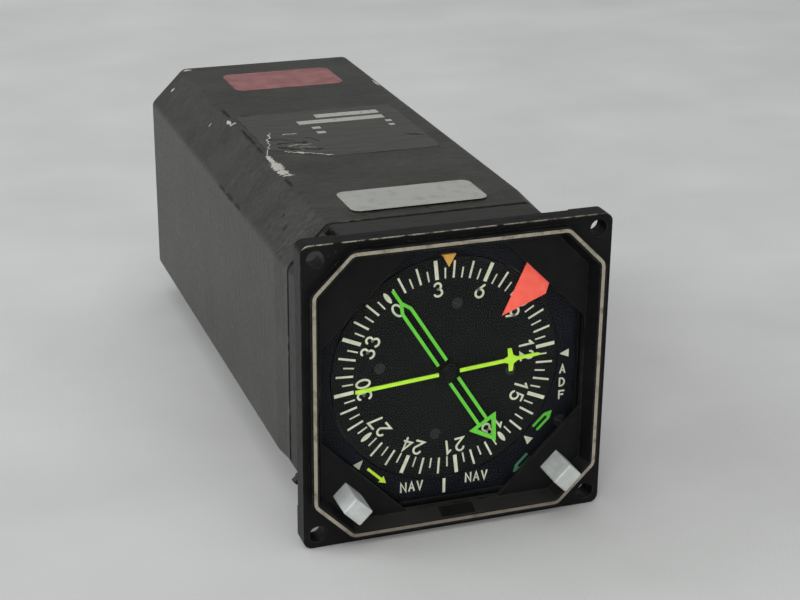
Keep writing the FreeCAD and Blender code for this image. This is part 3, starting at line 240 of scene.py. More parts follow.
# case: dark grey enamel over drawn sheet, finely crinkled along the case's girth, chipped and flaked at its edges
def caseEnamel():
    look = {
        "dark": "#141413", "light": "#3d3d36", "bare": "#c9c6be", "scuff": "#0b0b0b",
        # centre and reach along X, Y, Z of each bare chip and of each dark flake, mm
        "chips": [
            (-27.3, 70.9, 38.8, 0.8, 4.2, 1.2), (-27.2, 64.9, 38.7, 1.5, 4.6, 1.2), (-27.1, 59.4, 38.7, 1.4, 3, 1.2),
            (-26.4, 56, 38.8, 1.8, 0.6, 0.8), (-28.9, 112.9, 38.4, 0.6, 2.2, 0.8), (-28.2, 109.9, 38.5, 1, 0.6, 0.8),
            (-32.5, 123.4, 35.5, 0.7, 0.6, 0.8), (-27, 175.5, 38.5, 1.6, 1, 0.8), (-9.7, 178.4, 38.4, 1.6, 0.6, 0.7),
            (12.3, 178.4, 38.4, 2, 0.6, 0.7), (27.4, 141.5, 38.6, 0.6, 3.6, 1), (-33.5, 171, 34, 1, 0.7, 0.9)],
        "flakes": [
            (-38.8, 82.4, 28.2, 0.5, 4, 0.8), (-38.8, 74.4, 28.2, 0.5, 5, 0.9), (-38.8, 65.4, 28.3, 0.5, 4.5, 0.8),
            (-27.7, 121.4, 38.8, 0.6, 5, 0.6), (-27.6, 93.4, 38.8, 0.6, 9, 0.6), (-27.7, 81.4, 38.8, 0.5, 3.6, 0.6),
            (-28, 50.4, 38.7, 0.6, 4, 0.6), (-24.8, 104.4, 38.9, 1.3, 2.6, 0.3), (-22.9, 115.1, 38.9, 1.6, 1.3, 0.3),
            (-34, 32, 32.6, 1.2, 0.9, 1), (-33.2, 38, 34, 0.7, 0.6, 0.7)],
        "scratch": (-27.1, 75.8, -20.8, 96.6, 0.15),    # from x, y to x, y on the top, and its half width
        "topAbove": 38.5,
    }
    material, tree, shader, place = startFinish("CrinkledGreyEnamel", 1.5)
    split = addNode(tree, "ShaderNodeSeparateXYZ", inputs={"Vector": place})
    crinkle = cloud(tree, place, (1.5, 0.8, 1.5), 0.32, 0.68, 5.0)
    streaks = cloud(tree, place, (4.2, 1.9, 4.2), 0.35, 0.65, 5.0)
    broad = cloud(tree, place, (16.0, 13.0, 16.0), 0.32, 0.68, 4.0)
    fine = addNode(tree, "ShaderNodeMath", {"operation": "MULTIPLY_ADD"}, {0: crinkle, 1: 0.42, 2: -0.02})
    both = addNode(tree, "ShaderNodeMath", {"operation": "MULTIPLY_ADD"}, {0: streaks, 1: 0.2, 2: fine})
    tone = addNode(tree, "ShaderNodeMath", {"operation": "MULTIPLY_ADD", "use_clamp": True},
                   {0: broad, 1: 0.33, 2: both})
    paint = blendColours(tree, tone, look["dark"], look["light"])
    flakes = patchMask(tree, place, look["flakes"], 1.1, 0.9)
    scuffed = blendColours(tree, flakes, paint, look["scuff"])
    edges = edgeMask(tree, 0.7)
    patchy = cloud(tree, place, 5.0, 0.58, 0.68, 5.0)
    thin = addNode(tree, "ShaderNodeMath", {"operation": "MULTIPLY"}, {0: edges, 1: patchy})
    thinned = addNode(tree, "ShaderNodeMath", {"operation": "MULTIPLY"}, {0: thin, 1: 0.25})
    chips = patchMask(tree, place, look["chips"], 1.0, 0.8)
    # one long scratch runs slantwise over the top
    x0, y0, x1, y1, half = look["scratch"]
    away = segmentDistance(tree, split, (x0 * mm, y0 * mm), (x1 * mm, y1 * mm))
    line = addNode(tree, "ShaderNodeMath", {"operation": "LESS_THAN"}, {0: away, 1: half * mm})
    top = addNode(tree, "ShaderNodeMath", {"operation": "GREATER_THAN"},
                  {0: split.outputs["Z"], 1: look["topAbove"] * mm})
    scratch = addNode(tree, "ShaderNodeMath", {"operation": "MULTIPLY"}, {0: line, 1: top})
    marks = addNode(tree, "ShaderNodeMath", {"operation": "MAXIMUM"}, {0: chips, 1: scratch})
    worn = addNode(tree, "ShaderNodeMath", {"operation": "MAXIMUM"}, {0: thinned, 1: marks})
    bare = blendColours(tree, worn, scuffed, look["bare"])
    smooth = addNode(tree, "ShaderNodeMapRange", inputs={"Value": crinkle, "To Min": 0.38, "To Max": 0.52})
    matt = addNode(tree, "ShaderNodeMath", {"operation": "MULTIPLY"}, {0: flakes, 1: 0.7})
    rough = addNode(tree, "ShaderNodeMath", {"operation": "MAXIMUM"}, {0: smooth, 1: matt})
    metal = addNode(tree, "ShaderNodeMath", {"operation": "MULTIPLY"}, {0: worn, 1: 0.5})
    ridges = addNode(tree, "ShaderNodeMath", {"operation": "ADD"}, {0: crinkle, 1: streaks})
    gone = addNode(tree, "ShaderNodeMath", {"operation": "ADD"}, {0: worn, 1: flakes})
    height = addNode(tree, "ShaderNodeMath", {"operation": "SUBTRACT"}, {0: ridges, 1: gone})
    bump = addNode(tree, "ShaderNodeBump", inputs={"Height": height, "Distance": 0.065 * mm})
    wire(tree, shader, {"Base Color": bare, "Roughness": rough, "Metallic": metal, "Normal": bump})
    return material


# rim line: cream filler paint, dirty and rubbed thin in places
def rimPaint():
    look = {"clean": "#989281", "dirty": "#504a3f", "grain": 2.2}
    material, tree, shader, place = startFinish("AgedCreamPaint", 1.5, roughness=0.55)
    patchy = cloud(tree, place, look["grain"], 0.5, 0.75, 6.0)
    fine = cloud(tree, place, 0.3, 0.55, 0.8, 3.0)
    dirt = addNode(tree, "ShaderNodeMath", {"operation": "MAXIMUM"}, {0: patchy, 1: fine})
    worn = blendColours(tree, dirt, look["clean"], look["dirty"])
    # more dirt stays on the lower run
    split = addNode(tree, "ShaderNodeSeparateXYZ", inputs={"Vector": place})
    low = addNode(tree, "ShaderNodeMapRange",
                  inputs={"Value": split.outputs["Z"], "From Min": -0.034, "From Max": -0.038, "To Max": 0.6})
    colour = blendColours(tree, low, worn, look["dirty"])
    bump = addNode(tree, "ShaderNodeBump", inputs={"Height": fine, "Distance": 0.01 * mm})
    wire(tree, shader, {"Base Color": colour, "Normal": bump})
    return material


# paint with a painted glow: an emission in its own colour makes it brighter than the lamps light it
def glowPaint(name, code, pale, paintedGlow, roughness=0.5):
    material, tree, shader, place = startFinish(name, 1.5, roughness=roughness)
    uneven = cloud(tree, place, 2.5, 0.3, 0.8, 3.0)
    colour = blendColours(tree, uneven, code, pale)
    fine = cloud(tree, place, 0.25, 0.3, 0.7, 2.0)
    bump = addNode(tree, "ShaderNodeBump", inputs={"Height": fine, "Distance": 0.004 * mm})
    wire(tree, shader, {"Base Color": colour, "Emission Color": colour, "Normal": bump})
    shader.inputs["Emission Strength"].default_value = paintedGlow
    return material


# cover glass: bloomed, as cockpit glasses are; the coat leaves only the faint mirror image of IOR 1.13
def coverGlass():
    material, tree, shader, place = startFinish("BloomedGlass", 1.13, roughness=0.01)
    shader.inputs["Base Color"].default_value = hexColour("#fbfffd")
    shader.inputs["Transmission Weight"].default_value = 1.0
    path = addNode(tree, "ShaderNodeLightPath")
    clear = addNode(tree, "ShaderNodeBsdfTransparent", inputs={"Color": hexColour("#f6fbf9")})
    both = addNode(tree, "ShaderNodeMixShader", inputs={0: path.outputs["Is Shadow Ray"], 1: shader, 2: clear})
    output = next(n for n in tree.nodes if n.type == "OUTPUT_MATERIAL")
    tree.links.new(both.outputs[0], output.inputs["Surface"])
    return material


finishes = {
    "bezel": bezelEnamel(),
    "case": caseEnamel(),
    "rim": rimPaint(),
    "glass": coverGlass(),
    "mask": plainFinish("BlueBlackDialPaint", "#0a0a12", "#0e0e17", 0.5, 0.6, 0.3, 0.001, 14),
    "cardScrew": plainFinish("BluedSteel", "#0d0d0d", "#151514", 0.3, 0.42, 0.2, 0.004, 1.5, metallic=0.1),
    "card": plainFinish("MattBlackCardPaint", "#101011", "#141414", 0.65, 0.75, 0.25, 0.001, 12),
    "hub": plainFinish("MattBlackAnodising", "#0d0d0d", "#141413", 0.5, 0.65, 0.3, 0.004, 5),
    "ink": plainFinish("CreamDialInk", "#cdc9b3", "#dedac6", 0.6, 0.75, 0.2, 0.004, 2.5),
    # the pointers, arrow lenses, flag and index glow with painted light in their own colour; none of them is a lamp
    "yellowPointer": glowPaint("FluorescentYellowPaintWithPaintedGlow", "#a9d42c", "#b4de3a", 0.17),
    "greenPointer": glowPaint("FluorescentGreenPaintWithPaintedGlow", "#57b42c", "#65bd3a", 0.19),
    "yellowArrow": glowPaint("YellowLensWithPaintedGlow", "#b4d02c", "#c6da44", 0.22),
    "greenArrow": glowPaint("GreenLensWithPaintedGlow", "#4aa22c", "#5ab038", 0.22),
    "dimArrow": glowPaint("UnlitGreenLensWithPaintedGlow", "#396549", "#4e8062", 0.07),
    "flag": glowPaint("FluorescentRedPaintWithPaintedGlow", "#e85244", "#f06658", 0.27),
    "orange": glowPaint("OrangeIndexPaintWithPaintedGlow", "#cf9238", "#dba44e", 0.1),
    "button": plainFinish("MouldedGreyAbs", "#acb0ae", "#bbbfbd", 0.35, 0.5, 0.6, 0.008, 3.0, 1.53),
    "plate": plainFinish("SatinBlackPlate", "#0a0a0a", "#0f0f0f", 0.4, 0.5, 0.4, 0.002, 6),
    "rubber": plainFinish("BlackNeoprene", "#141414", "#1e1e1e", 0.65, 0.8, 0.4, 0.02, 5, 1.52),
    "blackMoulding": plainFinish("BlackMouldedPhenolic", "#151515", "#1d1d1d", 0.35, 0.5, 0.5, 0.01, 6, 1.55),
    "blackScrew": plainFinish("BlackOxideSteel", "#1d1d1c", "#30302d", 0.35, 0.55, 0.2, 0.006, 1.5, metallic=0.6),
    "steel": plainFinish("TurnedSteel", "#8f8f90", "#a5a5a5", 0.28, 0.42, 0.15, 0.004, 3, metallic=1.0),
    "aluminium": plainFinish("MilledAluminium", "#b4b5b6", "#c8c8c8", 0.32, 0.48, 0.2, 0.005, 6, metallic=1.0,
                             stretch=(6, 1, 1)),
    "brass": plainFinish("TurnedBrass", "#a98a4b", "#c2a25e", 0.28, 0.42, 0.15, 0.004, 4, metallic=1.0),
    "board": plainFinish("EpoxyGlassBoard", "#1c4a2a", "#245c35", 0.35, 0.5, 0.4, 0.006, 10, 1.55),
    "package": plainFinish("MouldedPackage", "#1b1b1c", "#262627", 0.45, 0.6, 0.3, 0.006, 4, 1.55),
    "lamp": plainFinish("FrostedLampCap", "#d2d0c4", "#e3e1d6", 0.5, 0.65, 0.3, 0.004, 2),
    "core": plainFinish("LaminatedCore", "#4b4b4d", "#626264", 0.4, 0.6, 0.35, 0.02, 6, metallic=0.8,
                        stretch=(1, 1, 8)),
    "olive": plainFinish("OliveChromate", "#4c4f33", "#63653f", 0.4, 0.6, 0.4, 0.008, 4, metallic=0.5),
}
# the dull paints of the dial, its hubs and the plate swallow most of the sheen
for name in ("mask", "card", "plate", "hub"):
    shader = next(n for n in finishes[name].node_tree.nodes if n.type == "BSDF_PRINCIPLED")
    shader.inputs["Specular IOR Level"].default_value = 0.1
print("finishes made:", len(finishes))

# which nodes get which finish
dressing = {
    "bezel": ["bezel_casting"],
    "rim": ["bezel_line"],
    "plate": ["blank_plate"],
    "rubber": ["glass_gasket", "case_seal"],
    "glass": ["cover_glass"],
    "hub": ["glass_retainer", "single_pointer_hub", "double_pointer_hub"],
    "blackScrew": ["neck_screws", "mask_screws", "case_screws"],
    "mask": ["dial_mask"],
    "aluminium": ["mask_pillars", "card_hub", "heading_servo", "heading_synchro", "single_pointer_synchro",
                  "double_pointer_synchro", "flag_meter", "front_plate", "middle_plate", "rear_plate",
                  "frame_pillars", "tail_frame", "top_labels"],
    "orange": ["top_index"],
    "yellowArrow": ["yellow_arrow_light"],
    "greenArrow": ["green_arrow_light"],
    "dimArrow": ["dim_arrow_light"],
    "board": ["lamp_ring", "circuit_boards"],
    "lamp": ["annunciator_lamps", "dial_lamps"],
    "card": ["compass_card"],
    "cardScrew": ["card_screws"],
    "brass": ["card_gear", "heading_gear", "sleeve_gear", "shaft_bearings"],
    "steel": ["servo_pinion", "heading_synchro_gear", "inner_shaft", "pointer_sleeve", "double_pointer_synchro_gear",
              "flag_shaft", "button_spring_left", "button_spring_right", "mechanism_screws"],
    "yellowPointer": ["single_pointer"],
    "greenPointer": ["double_pointer"],
    "flag": ["warning_flag"],
    "button": ["button_left", "button_right"],
    "blackMoulding": ["button_switches", "connector_insert"],
    "package": ["board_components"],
    "core": ["power_transformer"],
    "case": ["case_can"],
    "olive": ["rear_connector"],
}
for finish, names in dressing.items():
    for name in names:
        nodes[name].data.materials.clear()
        nodes[name].data.materials.append(finishes[finish])
print("nodes dressed:", sum(len(names) for names in dressing.values()))


# puts a mesh in the scene and on its body
def addPiece(name, mesh, body, material=None):
    piece = bpy.data.objects.new(name, mesh)
    bpy.context.scene.collection.objects.link(piece)
    if material:
        mesh.materials.clear()
        mesh.materials.append(material)
    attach(piece, body)
    return piece


# each return spring is copied into a mesh of its own on the housing, and the frame's coil is hidden
for side in ("left", "right"):
    coil = nodes["button_spring_" + side]
    piece = addPiece("return_spring_" + side, coil.data.copy(), "housing")
    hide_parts(coil.name)
    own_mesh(piece)
print("springs made")


# marks that repeat round the dial, grown by Geometry Nodes: a bar, or a given shape, turned round the axis
def markRingTree():
    tree = bpy.data.node_groups.new("MarkRing", "GeometryNodeTree")
    tree.interface.new_socket("Geometry", in_out="OUTPUT", socket_type="NodeSocketGeometry")
    wanted = [("Count", "Int", 12), ("Skip Every", "Int", 0), ("Turn", "Float", 0.0), ("Inner Radius", "Float", 0.02),
              ("Outer Radius", "Float", 0.03), ("Width", "Float", 0.001), ("Thickness", "Float", 0.0001),
              ("Front", "Float", 0.0), ("Shape", "Object", None), ("Finish", "Material", None)]
    for name, kind, value in wanted:
        socket = tree.interface.new_socket(name, in_out="INPUT", socket_type="NodeSocket" + kind)
        if value is not None:
            socket.default_value = value
    given = addNode(tree, "NodeGroupInput").outputs
    index = addNode(tree, "GeometryNodeInputIndex")
    step = addNode(tree, "ShaderNodeMath", {"operation": "DIVIDE"}, {0: math.tau, 1: given["Count"]})
    angle = addNode(tree, "ShaderNodeMath", {"operation": "MULTIPLY_ADD"}, {0: index, 1: step, 2: given["Turn"]})
    points = addNode(tree, "GeometryNodePoints", inputs={"Count": given["Count"]})
    over = addNode(tree, "ShaderNodeMath", {"operation": "MODULO"}, {0: index, 1: given["Skip Every"]})
    onSkip = addNode(tree, "ShaderNodeMath", {"operation": "LESS_THAN"}, {0: over, 1: 0.5})
    asked = addNode(tree, "ShaderNodeMath", {"operation": "GREATER_THAN"}, {0: given["Skip Every"], 1: 0.5})
    gone = addNode(tree, "ShaderNodeMath", {"operation": "MULTIPLY"}, {0: onSkip, 1: asked})
    kept = addNode(tree, "ShaderNodeMath", {"operation": "LESS_THAN"}, {0: gone, 1: 0.5})
    length = addNode(tree, "ShaderNodeMath", {"operation": "SUBTRACT"},
                     {0: given["Outer Radius"], 1: given["Inner Radius"]})
    middle = addNode(tree, "ShaderNodeMath", {"operation": "MULTIPLY_ADD"},
                     {0: length, 1: 0.5, 2: given["Inner Radius"]})
    size = addNode(tree, "ShaderNodeCombineXYZ", inputs={"X": given["Width"], "Y": given["Thickness"], "Z": length})
    bar = addNode(tree, "GeometryNodeMeshCube", inputs={"Size": size})
    out = addNode(tree, "ShaderNodeCombineXYZ", inputs={"Y": given["Front"], "Z": middle})
    placed = addNode(tree, "GeometryNodeTransform", inputs={"Geometry": bar, "Translation": out})
    shape = addNode(tree, "GeometryNodeObjectInfo", inputs={"Object": given["Shape"]}).outputs["Geometry"]
    both = addNode(tree, "GeometryNodeJoinGeometry")
    tree.links.new(placed.outputs[0], both.inputs[0])
    tree.links.new(shape, both.inputs[0])
    turn = addNode(tree, "ShaderNodeCombineXYZ", inputs={"Y": angle})
    copies = addNode(tree, "GeometryNodeInstanceOnPoints",
                     inputs={"Points": points, "Selection": kept, "Instance": both, "Rotation": turn})
    real = addNode(tree, "GeometryNodeRealizeInstances", inputs={"Geometry": copies})
    finished = addNode(tree, "GeometryNodeSetMaterial", inputs={"Geometry": real, "Material": given["Finish"]})
    addNode(tree, "NodeGroupOutput", inputs={"Geometry": finished})
    return tree


# one ring of marks as a plain mesh
def growRing(name, tree, values):
    seed = bpy.data.objects.new(name, bpy.data.meshes.new(name))
    bpy.context.scene.collection.objects.link(seed)
    modifier = seed.modifiers.new("ring", "NODES")
    modifier.node_group = tree
    for item in tree.interface.items_tree:
        if item.in_out == "INPUT" and item.name in values:
            modifier[item.identifier] = values[item.name]
    bpy.context.view_layer.update()
    grown = bpy.data.meshes.new_from_object(seed.evaluated_get(bpy.context.evaluated_depsgraph_get()))
    bpy.data.objects.remove(seed)
    return grown


# a ribbon of ink from pairs of points on its two sides, closed underneath; place turns (across, up, out) to 3-D
def inkRibbon(bm, pairs, place, proud, closed=False):
    rails = [[bm.verts.new(place(x, z, out)) for x, z in pair for out in (proud, 0.0)] for pair in pairs]
    count = len(rails)
    for i in range(count if closed else count - 1):
        a, b = rails[i], rails[(i + 1) % count]
        bm.faces.new((a[0], a[2], b[2], b[0]))
        bm.faces.new((a[1], b[1], b[3], a[3]))
        bm.faces.new((a[0], b[0], b[1], a[1]))
        bm.faces.new((a[2], a[3], b[3], b[2]))
    if not closed:
        bm.faces.new((rails[0][0], rails[0][1], rails[0][3], rails[0][2]))
        bm.faces.new((rails[-1][0], rails[-1][2], rails[-1][3], rails[-1][1]))


# the two sides of a pen stroke along a line of points, with pointed joints and round ends
def strokeSides(points, width, closed=False):
    half = width / 2
    count = len(points)
    pairs = []
    for i, point in enumerate(points):
        ahead = Vector(points[(i + 1) % count]) - Vector(point) if closed or i < count - 1 else None
        behind = Vector(point) - Vector(points[i - 1]) if closed or i > 0 else None
        ahead, behind = (ahead or behind).normalized(), (behind or ahead).normalized()
        across = Vector((-ahead.y, ahead.x)) + Vector((-behind.y, behind.x))
        across = across.normalized() if across.length > 1e-6 else Vector((-ahead.y, ahead.x))
        reach = half / max(0.42, across.dot(Vector((-ahead.y, ahead.x))))
        pairs.append(((point[0] + across.x * reach, point[1] + across.y * reach),
                      (point[0] - across.x * reach, point[1] - across.y * reach)))
    if closed:
        return pairs
    for end, other in ((0, 1), (-1, -2)):
        tip = Vector(points[end])
        out = (tip - Vector(points[other])).normalized()
        side = Vector((-out.y, out.x)) * (1 if end else -1)
        caps = []
        for angle in (30, 60, 85):
            c, s = math.cos(math.radians(angle)) * half, math.sin(math.radians(angle)) * half
            caps.append((tuple(tip + out * s + side * c), tuple(tip + out * s - side * c)))
        pairs = pairs + caps if end else caps[::-1] + pairs
    return pairs


# points along part of an ellipse
def arc(x, z, width, height, start, stop, steps=14):
    angles = [math.radians(start + (stop - start) * i / steps) for i in range(steps + 1)]
    return [(x + width * math.cos(a), z + height * math.sin(a)) for a in angles]


# pen strokes of each character in a box one wide and one high; a closed stroke is marked True
strokes = {
    "0": [(arc(0.5, 0.5, 0.5, 0.5, 0, 360, 28)[:-1], True)],
    "1": [([(0.22, 0.80), (0.62, 1.0), (0.62, 0.0)], False)],
    "2": [(arc(0.5, 0.69, 0.47, 0.31, 165, -28, 14) + [(0.0, 0.0), (1.0, 0.0)], False)],
    "3": [(arc(0.47, 0.76, 0.41, 0.24, 160, -90, 14), False), (arc(0.46, 0.265, 0.5, 0.265, 90, -155, 16), False)],
    "4": [([(0.76, 0.0), (0.76, 1.0), (0.0, 0.27), (1.0, 0.27)], False)],
    "5": [([(0.92, 1.0), (0.22, 1.0), (0.10, 0.50)] + arc(0.46, 0.31, 0.52, 0.31, 118, -150, 16), False)],
    "6": [(arc(0.5, 0.31, 0.5, 0.31, 0, 360, 24)[:-1], True), ([(0.70, 1.0), (0.08, 0.47)], False)],
    "7": [([(0.0, 1.0), (1.0, 1.0), (0.38, 0.0)], False)],
    "8": [(arc(0.5, 0.76, 0.38, 0.24, 0, 360, 20)[:-1], True), (arc(0.5, 0.265, 0.5, 0.265, 0, 360, 24)[:-1], True)],
    "9": [(arc(0.5, 0.69, 0.5, 0.31, 0, 360, 24)[:-1], True), ([(0.30, 0.0), (0.92, 0.53)], False)],
    "N": [([(0, 0), (0, 1), (1, 0), (1, 1)], False)],
    "A": [([(0, 0), (0.5, 1), (1, 0)], False), ([(0.2, 0.33), (0.8, 0.33)], False)],
    "V": [([(0, 1), (0.5, 0), (1, 1)], False)],
    "D": [([(0, 0), (0, 1)] + arc(0.25, 0.5, 0.75, 0.5, 90, -90, 14), True)],
    "F": [([(0, 0), (0, 1), (1, 1)], False), ([(0, 0.53), (0.8, 0.53)], False)],
}


# writes one character whose box centre is given
def writeCharacter(bm, character, centre, size, width, place, proud):
    for points, closed in strokes[character]:
        line = [(centre[0] + (x - 0.5) * size[0], centre[1] + (z - 0.5) * size[1]) for x, z in points]
        inkRibbon(bm, strokeSides(line, width, closed), place, proud, closed)


# turns the faces outwards and makes the mesh
def finishMesh(bm, name):
    bmesh.ops.recalc_face_normals(bm, faces=bm.faces)
    mesh = bpy.data.meshes.new(name)
    bm.to_mesh(mesh)
    bm.free()
    return mesh


dial = {
    "heading": 36.56,       # degrees under the top index
    "proud": 0.03,          # ink above the paint, mm
    "inner": 25.35,         # inner end of every tick
    "long": (30.6, 1.0), "medium": (30.0, 0.56), "short": (28.25, 0.40),
    "lens": (25.3, 28.9, 1.25),
    "numeralRadius": 22.6, "numeralSize": (2.15, 3.6), "numeralStroke": 0.58, "numeralPitch": 3.35,
}
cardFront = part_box("compass_card")[0].y
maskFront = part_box("dial_mask")[0].y
turnBack = -math.radians(dial["heading"])


# joins meshes into one
def joinMeshes(name, meshes):
    bm = bmesh.new()
    for mesh in meshes:
        bm.from_mesh(mesh)
        bpy.data.meshes.remove(mesh)
    joined = bpy.data.meshes.new(name)
    bm.to_mesh(joined)
    bm.free()
    return joined


# three rings of ticks and a lens at each quarter
def makeCardMarks():
    tree = markRingTree()
    front = cardFront - dial["proud"] * mm / 2
    base = {"Turn": turnBack, "Inner Radius": dial["inner"] * mm, "Thickness": dial["proud"] * mm,
            "Front": front, "Finish": finishes["ink"]}
    rings = [growRing("long", tree, {**base, "Count": 12, "Skip Every": 3,
                                     "Outer Radius": dial["long"][0] * mm, "Width": dial["long"][1] * mm}),
             growRing("medium", tree, {**base, "Count": 36, "Skip Every": 3,
                                       "Outer Radius": dial["medium"][0] * mm, "Width": dial["medium"][1] * mm}),
             growRing("short", tree, {**base, "Count": 72, "Skip Every": 2,
                                      "Outer Radius": dial["short"][0] * mm, "Width": dial["short"][1] * mm})]
    low, high, wide = dial["lens"]
    bm = bmesh.new()
    middle, half = (low + high) / 2, (high - low) / 2
    pairs = []
    for i in range(17):
        along = -math.cos(math.pi * i / 16)
        side = wide / 2 * max(0.16, (1 - along * along) ** 0.62)
        pairs.append(((-side, middle + along * half), (side, middle + along * half)))
    inkRibbon(bm, pairs, lambda x, z, out: Vector((x * mm, cardFront - out * mm, z * mm)), dial["proud"])
    lens = bpy.data.objects.new("lens", finishMesh(bm, "lens"))
    bpy.context.scene.collection.objects.link(lens)
    rings.append(growRing("lenses", tree, {**base, "Count": 4, "Shape": lens, "Width": 0.0,
                                           "Outer Radius": (dial["inner"] + 0.5) * mm, "Thickness": 0.0}))
    bpy.data.objects.remove(lens)
    return joinMeshes("card_ticks", rings), tree


ticks, ringTree = makeCardMarks()
addPiece("card_ticks", ticks, "compass_card", finishes["ink"])


def makeNumerals():
    bm = bmesh.new()
    for number in range(0, 36, 3):
        text = str(number)
        bearing = math.radians(number * 10 - dial["heading"])
        turn = Matrix.Rotation(bearing, 3, "Y")
        for i, character in enumerate(text):
            shift = (i - (len(text) - 1) / 2) * dial["numeralPitch"]
            place = lambda x, z, out: turn @ Vector((x * mm, cardFront - out * mm, z * mm))
            writeCharacter(bm, character, (shift, dial["numeralRadius"]), dial["numeralSize"],
                           dial["numeralStroke"], place, dial["proud"])
    return finishMesh(bm, "card_numerals")


addPiece("card_numerals", makeNumerals(), "compass_card", finishes["ink"])


maskMarks = {
    "triangle": (32.16, 34.7, 1.15),       # tip radius, base radius, half width
    "bearings": (90, 135, 225),
    "bar": (31.7, 35.9, 0.8),
    "words": [("NAV", -9.15, -32.6, 2.3, (1.4, 2.5)), ("NAV", 9.2, -32.5, 2.3, (1.4, 2.5))],
    "column": ("ADF", 33.1, (-4.5, -8.3, -12.0), (1.35, 2.2)),
    "stroke": 0.45,
}


def makeMaskMarks():
    place = lambda x, z, out: Vector((x * mm, maskFront - out * mm, z * mm))
    bm = bmesh.new()
    tip, base, half = maskMarks["triangle"]
    inkRibbon(bm, [((-0.06, tip), (0.06, tip)), ((-half, base), (half, base))], place, dial["proud"])
    wedge = bpy.data.objects.new("wedge", finishMesh(bm, "wedge"))
    bpy.context.scene.collection.objects.link(wedge)
    rings = [growRing("triangle", ringTree, {"Count": 1, "Skip Every": 0, "Shape": wedge, "Width": 0.0,
                                             "Turn": math.radians(bearing), "Inner Radius": tip * mm,
                                             "Outer Radius": base * mm, "Thickness": 0.0,
                                             "Front": maskFront - 0.01 * mm, "Finish": finishes["ink"]})
             for bearing in maskMarks["bearings"]]
    bpy.data.objects.remove(wedge)
    bm = bmesh.new()
    low, high, wide = maskMarks["bar"]
    inkRibbon(bm, [((-wide / 2, -z), (wide / 2, -z)) for z in (low, high)], place, dial["proud"])
    for word, x, z, pitch, size in maskMarks["words"]:
        for i, character in enumerate(word):
            writeCharacter(bm, character, (x + (i - 1) * pitch, z), size, maskMarks["stroke"], place, dial["proud"])
    word, x, heights, size = maskMarks["column"]
    for character, z in zip(word, heights):
        writeCharacter(bm, character, (x, z), size, maskMarks["stroke"], place, dial["proud"])
    return joinMeshes("mask_marks", rings + [finishMesh(bm, "words")])


addPiece("mask_marks", makeMaskMarks(), "housing", finishes["ink"])
print("dial marks made")

labels = {
    "silver_label": {"centre": (-0.3, 29.55), "size": (37.8, 16.3), "corner": 2.6, "wrinkle": 0.02, "ragged": 0.0},
    # the dark one is torn away below a line from x, y at its left edge to x, y at its front edge
    "dark_label": {"centre": (-1.5, 92.3), "size": (49, 46.6), "corner": 1.0, "wrinkle": 0.06, "ragged": 0.5,
                   "torn": (-26.0, 81.0, -11.0, 69.0)},
    "red_label": {"centre": (-0.2, 154.9), "size": (36.0, 20.8), "corner": 3.0, "wrinkle": 0.03, "ragged": 0.1},
}


def silverFoil():
    material, tree, shader, place = startFinish("SatinAluminiumFoil", 1.5, 0.35, 0.4)
    streak = cloud(tree, place, (12, 0.5, 3), 0.3, 0.7, 3)
    dirt = cloud(tree, place, 3.5, 0.5, 0.75, 5)
    base = blendColours(tree, streak, "#a0a19b", "#b0b1ab")
    dirty = blendColours(tree, dirt, base, "#979791")
    rough = addNode(tree, "ShaderNodeMapRange", inputs={"Value": streak, "To Min": 0.38, "To Max": 0.5})
    wire(tree, shader, {"Base Color": dirty, "Roughness": rough})
    return material


